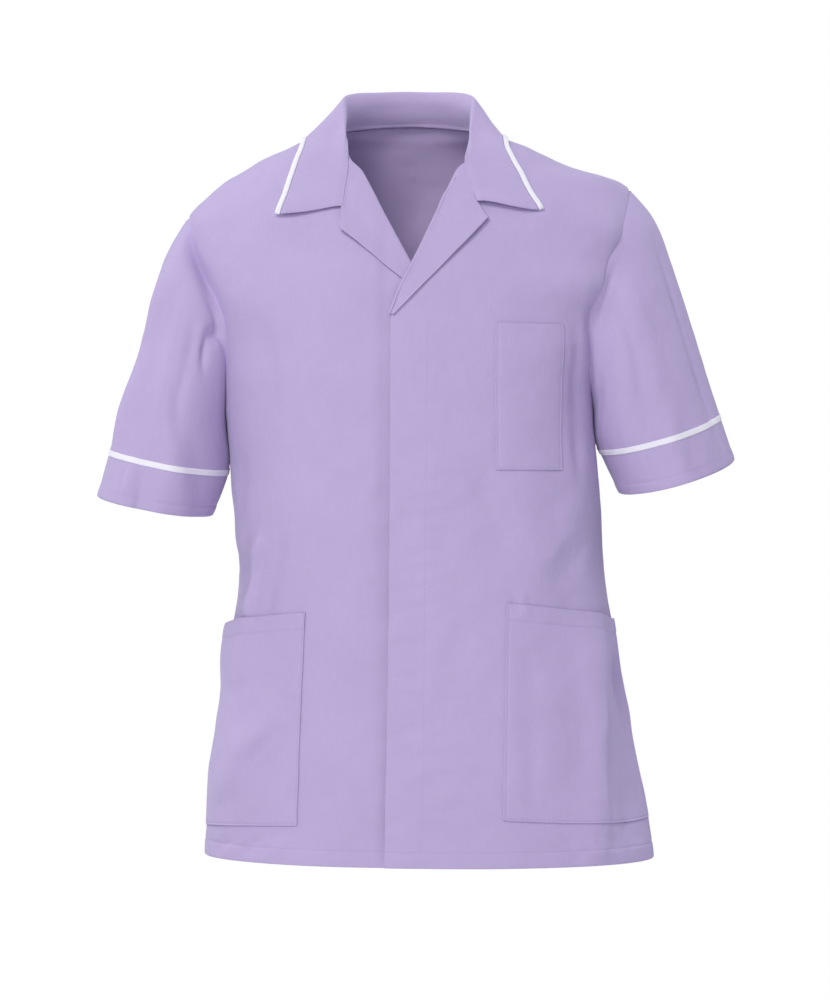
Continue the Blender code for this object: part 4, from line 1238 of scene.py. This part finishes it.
def collarBones():
    # Points up from the neck seam, over a round roll and down to the leaf edge, at stations
    # round the neck; where the collar lies flat, heights come from the body.
    rows = np.array(collar["right"] + (collar["back"],) + collar["left"][::-1], float)
    run = runOf(rows[:, :8])
    rows = spline(run, rows, np.linspace(0, run[-1], collar["around"] + 1))
    fold, neck, edge, flat = np.split(rows, (3, 6, 8), axis=1)
    flat = np.clip(flat, 0, 1)
    leaf = onBody(edge[:, 0], edge[:, 1], collar["lift"])
    fold, neck = [flat * onBody(place[:, 0], place[:, 1], collar["lift"]) + (1 - flat) * place
                  for place in (fold, neck)]
    stand = fold - neck
    up = unit(stand)
    neck = neck + up * collar["seamGap"] * (1 - flat)
    inward = unit((np.array(collar["centre"]) - neck) * np.array([1.0, 1.0, 0.0]))
    neck = neck + inward * collar["neckTuck"] * (1 - flat)
    out = unit(np.cross((0, 0, 1), np.gradient(fold, axis=0)))
    tall = np.linalg.norm(stand, axis=1, keepdims=True)
    rollSize = collar["rollRadius"] * (1 - flat) * ease(tall / collar["fullRollStand"])
    shoulderIn = fold - up * rollSize + (neck - fold) * collar["flatStand"] * flat
    top = fold + out * rollSize
    shoulderOut = fold - up * rollSize + out * 2 * rollSize
    shoulderOut = shoulderOut + (leaf - fold) * collar["flatFall"] * flat
    middle = (shoulderOut + leaf) / 2
    middle = (flat * onFront(middle - np.array([0, 0, collar["belly"]]))
              + (1 - flat) * (middle + out * collar["bulge"]))
    return np.stack([neck, shoulderIn, top, shoulderOut, middle, leaf], axis=1), flat


def collarGrid():
    # A spline through the points of each station; the fall is then laid on the front or
    # raised clear of the shoulders.
    bones, flat = collarBones()
    standRows = collar["standRows"]
    seamShares = collar["seamShares"]
    evenShares = np.linspace(collar["standFrom"], 1, standRows + 1 - len(seamShares))
    standShares = np.r_[seamShares, evenShares]
    fallShares = np.linspace(0, 1, collar["fallRows"] + 1)[1:] ** collar["spacing"]
    grid = []
    for bone in bones:
        length = runOf(bone)
        at = np.r_[standShares * length[2], length[2] + (length[-1] - length[2]) * fallShares]
        grid.append(spline(length, bone, at))
    grid = np.stack(grid)
    fall = grid[:, standRows + 1:-1]
    resting = onBody(fall[..., 0], fall[..., 1], collar["lift"])
    raised = fall.copy()
    raised[..., 2] += np.maximum(resting[..., 2] - fall[..., 2], 0)
    fall[:] = flat[:, None] * onFront(fall) + (1 - flat[:, None]) * raised
    return grid, flat


def collarRelief(grid, flat, along, across):
    # Unevenness and the stand's crease behind the neck, dying away at the edges; the neck
    # seam's roll; ends that settle on the revers; corners and left notch that stand off.
    standShare = across / across[:, collar["standRows"]:collar["standRows"] + 1]
    crease = bell(standShare - collar["standCreaseAt"], collar["standCreaseWidth"])
    fromEnds = collar["standCreaseHalf"] - np.abs(grid[..., 0])
    behind = ease(fromEnds / collar["standCreaseFade"]) * (grid[..., 1] > collar["standCreaseFrom"])
    fromLeaf = across[:, -1:] - across
    uneven = waves(along[:, None], across, collar["unevenSize"], collar["seed"])
    relief = collar["unevenHeight"] * uneven
    relief -= collar["standCrease"] * crease * behind
    relief *= ease(fromLeaf / collar["edgeFade"]) * ease(across / collar["edgeFade"])
    relief -= collar["neckSettle"] * flat * (1 - ease(across / collar["settleReach"]))
    roll = bell(across - collar["seamRollAt"], collar["seamRollWidth"])
    relief += collar["seamRoll"] * roll * (1 - flat) * ease(across / collar["seamRollRise"])
    toLeftEnd = (along[-1] - along)[:, None]
    fromEnd = np.minimum(along[:, None], toLeftEnd)
    reach = collar["cornerReach"]
    relief += collar["cornerLift"] * ease(1 - fromEnd / reach) * ease(1 - fromLeaf / reach)
    endReach, leafReach = collar["notchReach"]
    relief += (collar["notchLift"] * ease(1 - toLeftEnd / endReach)
               * ease(1 - np.abs(fromLeaf - collar["notchAt"]) / leafReach))
    return relief


def pipingShape(grid):
    # A flattened cord along the leaf edge: an oval carried along it, closed at both ends.
    edge = grid[:, -1]
    facing = onBody(edge[:, 0], edge[:, 1], 1.0) - onBody(edge[:, 0], edge[:, 1], 0.0)
    path = unit(np.gradient(edge, axis=0))
    outward = edge - grid[:, -collar["pipingRows"]]
    for other in (facing, path):
        outward = unit(outward - other * np.sum(outward * other, axis=1, keepdims=True))
    upward = np.cross(path, outward)
    middle = edge + outward * (collar["pipingWidth"] / 2 + cloth["seamGap"])
    swing = np.linspace(0, 2 * np.pi, collar["pipingSides"], endpoint=False)
    ring = (middle[:, None]
            + outward[:, None] * (np.cos(swing) * collar["pipingWidth"] / 2)[None, :, None]
            + upward[:, None] * (np.sin(swing) * collar["pipingThick"] / 2)[None, :, None])
    index = np.arange(ring.shape[0] * ring.shape[1]).reshape(ring.shape[:2])
    after = np.roll(index, -1, axis=1)
    quads = np.stack([index[:-1], after[:-1], after[1:], index[1:]], -1).reshape(-1, 4)
    faces = quads.tolist() + [index[0].tolist()[::-1], index[-1].tolist()]
    flat = np.broadcast_arrays(runOf(middle)[:, None], swing[None] * collar["pipingTurn"])
    return ring.reshape(-1, 3), faces, np.stack(flat, -1).reshape(-1, 2)


grid, flat = collarGrid()
along = runOf(grid[:, collar["standRows"]])
across = np.stack([runOf(column) for column in grid])
grid = grid + gridNormal(grid) * collarRelief(grid, flat, along, across)[..., None]
cut = np.stack(np.broadcast_arrays(along[:, None], across), -1)
makePiece("clothCollar", shellMesh(grid, cut, collar["wall"]), lilacCloth, "collar")
makePiece("tapeCollar", pipingShape(grid), whiteTrim, "collar_piping")

revers = {
    "wall": 1.5,
    "columns": ("footZ", "gorge", "tip", "lower"),
    1: (-193.2, ((52.3, -42), (54.6, -54.5), (57.7, -68), (62.3, -83)), (75.9, -99.3),
        ((57, -120), (-15.5, -192.8))),
    -1: (-166, ((-57.5, -38), (-59, -52), (-61, -70), (-62.6, -85)), (-67.8, -109.9),
         ((-36, -134), (4.5, -167))),
    "puff": 1.7,
    "puffAt": 0.16,
    "puffWidth": 50,         # at and over this width the roll has its whole height
    "puffFade": 0.22,
    "puffLeast": 0.1,
    "lift": 1.2,
    "tipLift": 2.8,          # the tip stands off the front
    "tipFrom": 0.35,
    "tipReach": 0.6,
    "gorgeTuck": 3.2,        # its gorge edge lies this far in under the collar
    "gorgeSteps": (40, 20),
    "gorgeFade": 22,
    "topTuck": 4.0,
    "topTuckFrom": -50,
    "topTuckFade": 14,
    "roll": ((1.0, -0.9), (2.1, -0.3), (2.6, 0.6), (2.3, 1.5), (1.3, 2.1)),
    "lieGap": 0.35,
    "tuckUnder": 6.0,
    "tuckFade": 30.0,
    "steps": 140,            # points of its outline, and usual sizes for the count of cells
    "wide": 60.0,
    "long": 170.0,
    "cells": (2.6, 2.8),
    "seed": 25,
    "unevenSize": 40,
    "unevenHeight": 0.15,
    "footShare": 0.55,       # how narrow its turned edge is at the foot, and how far up
    "footReach": 0.2,
}


def reversGrid(turned):
    # Coons patch between break line and lower edge, foot and gorge, lying on the front, with
    # a soft roll beside the break line and its edge turned over the front's edge.
    shape = dict(zip(revers["columns"], revers[turned]))
    steps = revers["steps"]
    breakLine = levelLine(lines["break"][turned], shape["footZ"], shape["gorge"][0][1], steps)
    lower = seenLine((*shape["lower"][::-1], shape["tip"]), steps, smooth=False)
    gorgeLines = (shape["gorge"], (shape["gorge"][-1], shape["tip"]))
    gorge = joinLines(*map(seenLine, gorgeLines, revers["gorgeSteps"]))
    toTip = np.arange(len(gorge))[::-1]
    gorge[:, 0] += turned * revers["gorgeTuck"] * ease(toTip / revers["gorgeFade"])
    foot = np.linspace(breakLine[0], lower[0], len(gorge))
    fromTop = breakLine[:, 1] - revers["topTuckFrom"]
    breakLine[:, 0] += turned * revers["topTuck"] * ease(fromTop / revers["topTuckFade"])
    gorge[0] = breakLine[-1]
    lower[-1] = gorge[-1]
    across, along = [sharesOf(revers[name], cell=cell)
                     for name, cell in zip(("wide", "long"), revers["cells"])]
    flat = coonsGrid(foot, gorge, breakLine, lower, across, along)
    share = across[:, None]
    rise = along[None]
    width = np.linalg.norm(flat[-1] - flat[0], axis=-1)[None]
    puff = revers["puff"] * bell(share - revers["puffAt"], revers["puffAt"])
    puff = puff * ease(width / revers["puffWidth"])
    puff = puff * ease((1 - rise) / revers["puffFade"] + revers["puffLeast"])
    puff += revers["tipLift"] * share ** 3 * ease((rise - revers["tipFrom"]) / revers["tipReach"])
    angle, z = rollUp(flat)
    x = bodyPlace(angle, z)[..., 0]
    if turned < 0:
        puff *= ease((-x - body["overlap"] + revers["tuckUnder"]) / revers["tuckFade"])
    lift = cloth["wall"] / 2 + revers["lieGap"] + revers["wall"] / 2 + puff
    lift += revers["lift"] * share ** 3
    lift += revers["unevenHeight"] * waves(x, z, revers["unevenSize"], revers["seed"])
    rows = [frontPoint(flat[2:], turned, lift[2:])[0]]
    cuts = [flat[2:]]
    narrow = revers["footShare"] + (1 - revers["footShare"]) * ease(along / revers["footReach"])
    for beyond, height in revers["roll"][::-1]:
        place = flat[0] + np.stack([-turned * beyond * narrow, np.zeros(len(along))], -1)
        rows.insert(0, frontPoint(place, turned, height)[0][None])
        cuts.insert(0, place[None])
    return facingOut(np.concatenate(rows), turned), facingOut(np.concatenate(cuts), turned)


for turned, sideName in ((1, "left"), (-1, "right")):
    shape = shellMesh(*reversGrid(turned), revers["wall"])
    makePiece("clothRevers" + sideName.capitalize(), shape, lilacCloth, "lapel_" + sideName)
print("stage: collar and revers made")

# Pockets.

pocket = {
    "wall": 0.9,
    "cell": 3.0,
    "steps": 100,            # points of its outline on each side
    "sideGap": 2.0,          # from the side seam, where a lower pocket ends
    "gapeReach": 70.0,       # how far down its mouth stands off, and from which share across
    "gapeStart": 0.2,
    "puff": 0.35,
    "puffFade": 9,
    "bandPuff": 0.30,
    "bandFade": 3,
    "mouthFade": 2.0,
    "edgeStitch": 2.2,
    "threadLift": 0.05,
    "chest": {"turned": 1, "gap": 0.4, "gape": 0.0, "node": "chest_pocket", "band": 0.0,
              "mouth": ((82, -200.5), (147.5, -200.5)), "base": ((82, -343), (147, -343))},
    "lowerLeft": {"turned": 1, "gap": 0.5, "gape": 2.0, "node": "lower_pocket_left",
                  "band": 16.5, "mouth": ((92.9, -471.5), (154, -479), (None, -490)),
                  "base": ((88.8, -680), (182, -685.4), (None, -686))},
    "lowerRight": {"turned": -1, "gap": 0.5, "gape": 6.0, "node": "lower_pocket_right",
                   "band": 16.5, "mouth": ((-100.9, -481), (-153, -487), (None, -499)),
                   "base": ((-109, -688), (-160, -691), (None, -699))},
}


def pocketLine(points, turned):
    # Mouth or base across the front; a last point without x lies at the side seam.
    flat = [unroll(angleAt(x, z), np.array(float(z))) for x, z in points if x is not None]
    toSide = points[-1][0] is None
    if toSide:
        z = np.array(float(points[-1][1]))
        flat.append(np.stack([turned * (quarterLength(z, 1) - pocket["sideGap"]), z]))
    return evenLine(np.stack(flat), pocket["steps"], smooth=toSide), toSide


def pocketGrid(shape):
    # Coons patch between mouth and base on the front panel; the mouth stands off towards the
    # side seam; its band and edge stitches are relief.
    turned = shape["turned"]
    steps = pocket["steps"]
    (mouth, toSide), (base, _) = [pocketLine(shape[name], turned) for name in ("mouth", "base")]
    wide = np.linalg.norm(mouth[-1] - mouth[0])
    tall = np.linalg.norm(mouth[0] - base[0])
    first, last = [seenLine((shape["base"][at], shape["mouth"][at]), steps, smooth=False)
                   if at == 0 or not toSide else np.linspace(base[-1], mouth[-1], steps + 1)
                   for at in (0, -1)]
    inset = pocket["edgeStitch"]
    columns = sharesOf(wide, marks=(inset, wide - inset), cell=pocket["cell"])
    rows = sharesOf(tall, marks=(inset, tall - shape["band"]), cell=pocket["cell"])
    flat = coonsGrid(base, mouth, first, last, columns, rows)
    depth = (1 - rows)[None] * tall + 0 * columns[:, None]
    sideways = ease((columns[:, None] - pocket["gapeStart"]) / (1 - pocket["gapeStart"]))
    gape = shape["gape"] * sideways * ease(1 - depth / pocket["gapeReach"])
    fromSide = np.minimum(columns, 1 - columns)[:, None] * wide
    fromBase = tall - depth
    relief = groove(fromBase - inset) + groove(fromSide - inset)
    relief = np.maximum(relief, -cloth["grooveDepth"]) * ease(depth / pocket["mouthFade"])
    if shape["band"]:
        fade = pocket["bandFade"]
        proud = ease((shape["band"] - depth) / fade) * ease(depth / fade)
        relief += groove(depth - shape["band"]) + pocket["bandPuff"] * proud
    relief += (pocket["puff"] * ease(fromSide / pocket["puffFade"])
               * ease(fromBase / pocket["puffFade"]))
    lift = cloth["wall"] / 2 + shape["gap"] + pocket["wall"] / 2 + gape + relief
    parts = [facingOut(part, turned) for part in (*frontPoint(flat, turned, lift), flat)]
    return parts, columns if turned > 0 else (1 - columns)[::-1], rows, wide, tall


def pocketRows(surface, normal, columns, rows, wide, tall, band):
    # The rows of stitches down both sides, along the base and below the band: lines of the
    # pocket's grid with its normals, a little above the cloth.
    def nearest(shares, wanted):
        return np.abs(shares - wanted).argmin()

    first = nearest(columns, pocket["edgeStitch"] / wide)
    last = nearest(columns, 1 - pocket["edgeStitch"] / wide)
    base = nearest(rows, pocket["edgeStitch"] / tall)
    places = [(first, slice(base, None)), (last, slice(base, None)), (slice(first, last + 1), base)]
    if band:
        places.append((slice(1, -1), nearest(rows, 1 - band / tall)))
    lift = pocket["wall"] / 2 + pocket["threadLift"]
    return [(surface[place] + normal[place] * lift, normal[place]) for place in places]


for name in ("chest", "lowerLeft", "lowerRight"):
    shape = pocket[name]
    (surface, normal, flat), *spacing = pocketGrid(shape)
    title = name[0].upper() + name[1:]
    makePiece("clothPocket" + title, shellMesh(surface, flat, pocket["wall"], normal=normal),
              lilacCloth, shape["node"])
    stitchPiece("stitchPocket" + title, pocketRows(surface, normal, *spacing, shape["band"]))
print("stage: pockets made")

# Rows of stitches on the body.

topstitch = {
    "placket": 30.0,         # from the left front's edge
    "placketTop": -200.0,
    "placketPoints": 300,
    "lift": 0.03,
    "points": 400,
    "fromSeam": 2.5,
    "fromEdge": 1.0,
}


def hemRow(turned, side):
    # The hem's row of stitches on one panel.
    z = np.full(topstitch["points"], body["hemZ"] + body["hemStitch"])
    reach = quarterLength(z[:1], side)[0] - topstitch["fromSeam"]
    start = -reach
    if side > 0:
        edge = levelLine(lines["edge"][turned], z[0], z[0] + 1, 1)[0, 0]
        start = edge + turned * topstitch["fromEdge"]
    width = np.linspace(start, turned * reach, len(z))
    angle, z = rollUp(np.stack([width, z], -1), side)
    out = clothOut(angle, z, turned, side) + hemRelief(width, z - body["hemZ"], body)
    return bodyPoint(angle, z, out + cloth["wall"] / 2 + topstitch["lift"]), bodyNormal(angle, z)


def placketRow():
    # The row that holds the covered fastening's lap, beside the left front's edge.
    edge = levelLine(lines["edge"][1], body["hemZ"] + body["hemStitch"],
                     topstitch["placketTop"], topstitch["placketPoints"])
    return frontPoint(edge + np.array([topstitch["placket"], 0.0]), 1,
                      cloth["wall"] / 2 + topstitch["lift"])


stitchPiece("stitchHem", [hemRow(1, 1), hemRow(-1, 1), hemRow(1, -1)])
stitchPiece("stitchPlacket", [placketRow()])
print("stage: stitches made")

# Camera, light and floor.

studio = {
    "camera": (0.005, -3.5, -0.372),
    "lens": 126.0,
    "sensor": 36.0,
    "floorZ": -1.40,
    "floorReach": 3.2,
    "floorSides": 96,
    "floorColour": (0.9, 0.9, 0.9, 1),
    "floorRoughness": 0.9,
    "seenColour": (1, 1, 1, 1),
    "worldLight": 0.29,
    "worldTint": (0.90, 0.87, 1.22, 1),
    "aim": (0.0, 0.0, -0.37),
    "lamps": {               # place, size and power
        "key": ((-0.98, -2.42, 1.82), 1.2, 40.0),
        "front": ((-0.74, -4.17, 0.38), 2.3, 38.0),
        "left": ((-3.34, -0.29, 0.22), 1.8, 3.0),
        "right": ((2.59, -0.23, 1.82), 1.8, 8.0),
        "backLeft": ((-2.26, 1.30, 1.82), 1.8, 40.0),
        "backRight": ((2.26, 1.30, 1.82), 1.8, 30.0),
    },
}


def addObject(name, data):
    # An object in the scene for a camera, a lamp or a mesh.
    made = bpy.data.objects.new(name, data)
    bpy.context.scene.collection.objects.link(made)
    return made


scene = bpy.context.scene
scene.camera = addObject("photoCamera", bpy.data.cameras.new("photoCamera"))
scene.camera.data.lens = studio["lens"]
scene.camera.data.sensor_width = studio["sensor"]
scene.camera.location = studio["camera"]
scene.camera.rotation_euler = (np.pi / 2, 0, 0)

for name, (place, size, power) in studio["lamps"].items():
    lamp = bpy.data.lights.new(name + "Light", "AREA")
    lamp.shape = "DISK"
    lamp.size = size
    lamp.energy = power
    holder = addObject(name + "Light", lamp)
    holder.location = place
    toward = Vector(studio["aim"]) - Vector(place)
    holder.rotation_euler = toward.to_track_quat("-Z", "Y").to_euler()

# The camera sees white; everything else is lit by the tinted world.
scene.world = bpy.data.worlds.new("studioWorld")
scene.world.use_nodes = True
worldTree = scene.world.node_tree
worldTree.nodes.clear()
seen = addNode(worldTree, "Background", {"Color": studio["seenColour"], "Strength": 1.0})
cast = addNode(worldTree, "Background", {"Color": studio["worldTint"],
                                         "Strength": studio["worldLight"]})
rays = addNode(worldTree, "LightPath")
choose = addNode(worldTree, "MixShader", {0: rays.outputs["Is Camera Ray"], 1: cast.outputs[0],
                                          2: seen.outputs[0]})
addNode(worldTree, "OutputWorld", {0: choose.outputs[0]})

rim = np.linspace(0, 2 * np.pi, studio["floorSides"], endpoint=False)
rimPoints = np.stack([np.cos(rim) * studio["floorReach"], np.sin(rim) * studio["floorReach"],
                      np.full(len(rim), studio["floorZ"])], -1)
floorMesh = bpy.data.meshes.new("studioFloor")
floorMesh.from_pydata(rimPoints.tolist(), [], [list(range(len(rim)))])
floorMaterial = bpy.data.materials.new("paleFloor")
floorMaterial.use_nodes = True
setInputs(floorMaterial.node_tree, floorMaterial.node_tree.nodes["Principled BSDF"],
          {"Base Color": studio["floorColour"], "Roughness": studio["floorRoughness"]})
floorMesh.materials.append(floorMaterial)
addObject("studioFloor", floorMesh)
scene.view_settings.view_transform = "Standard"
print("stage: studio made")
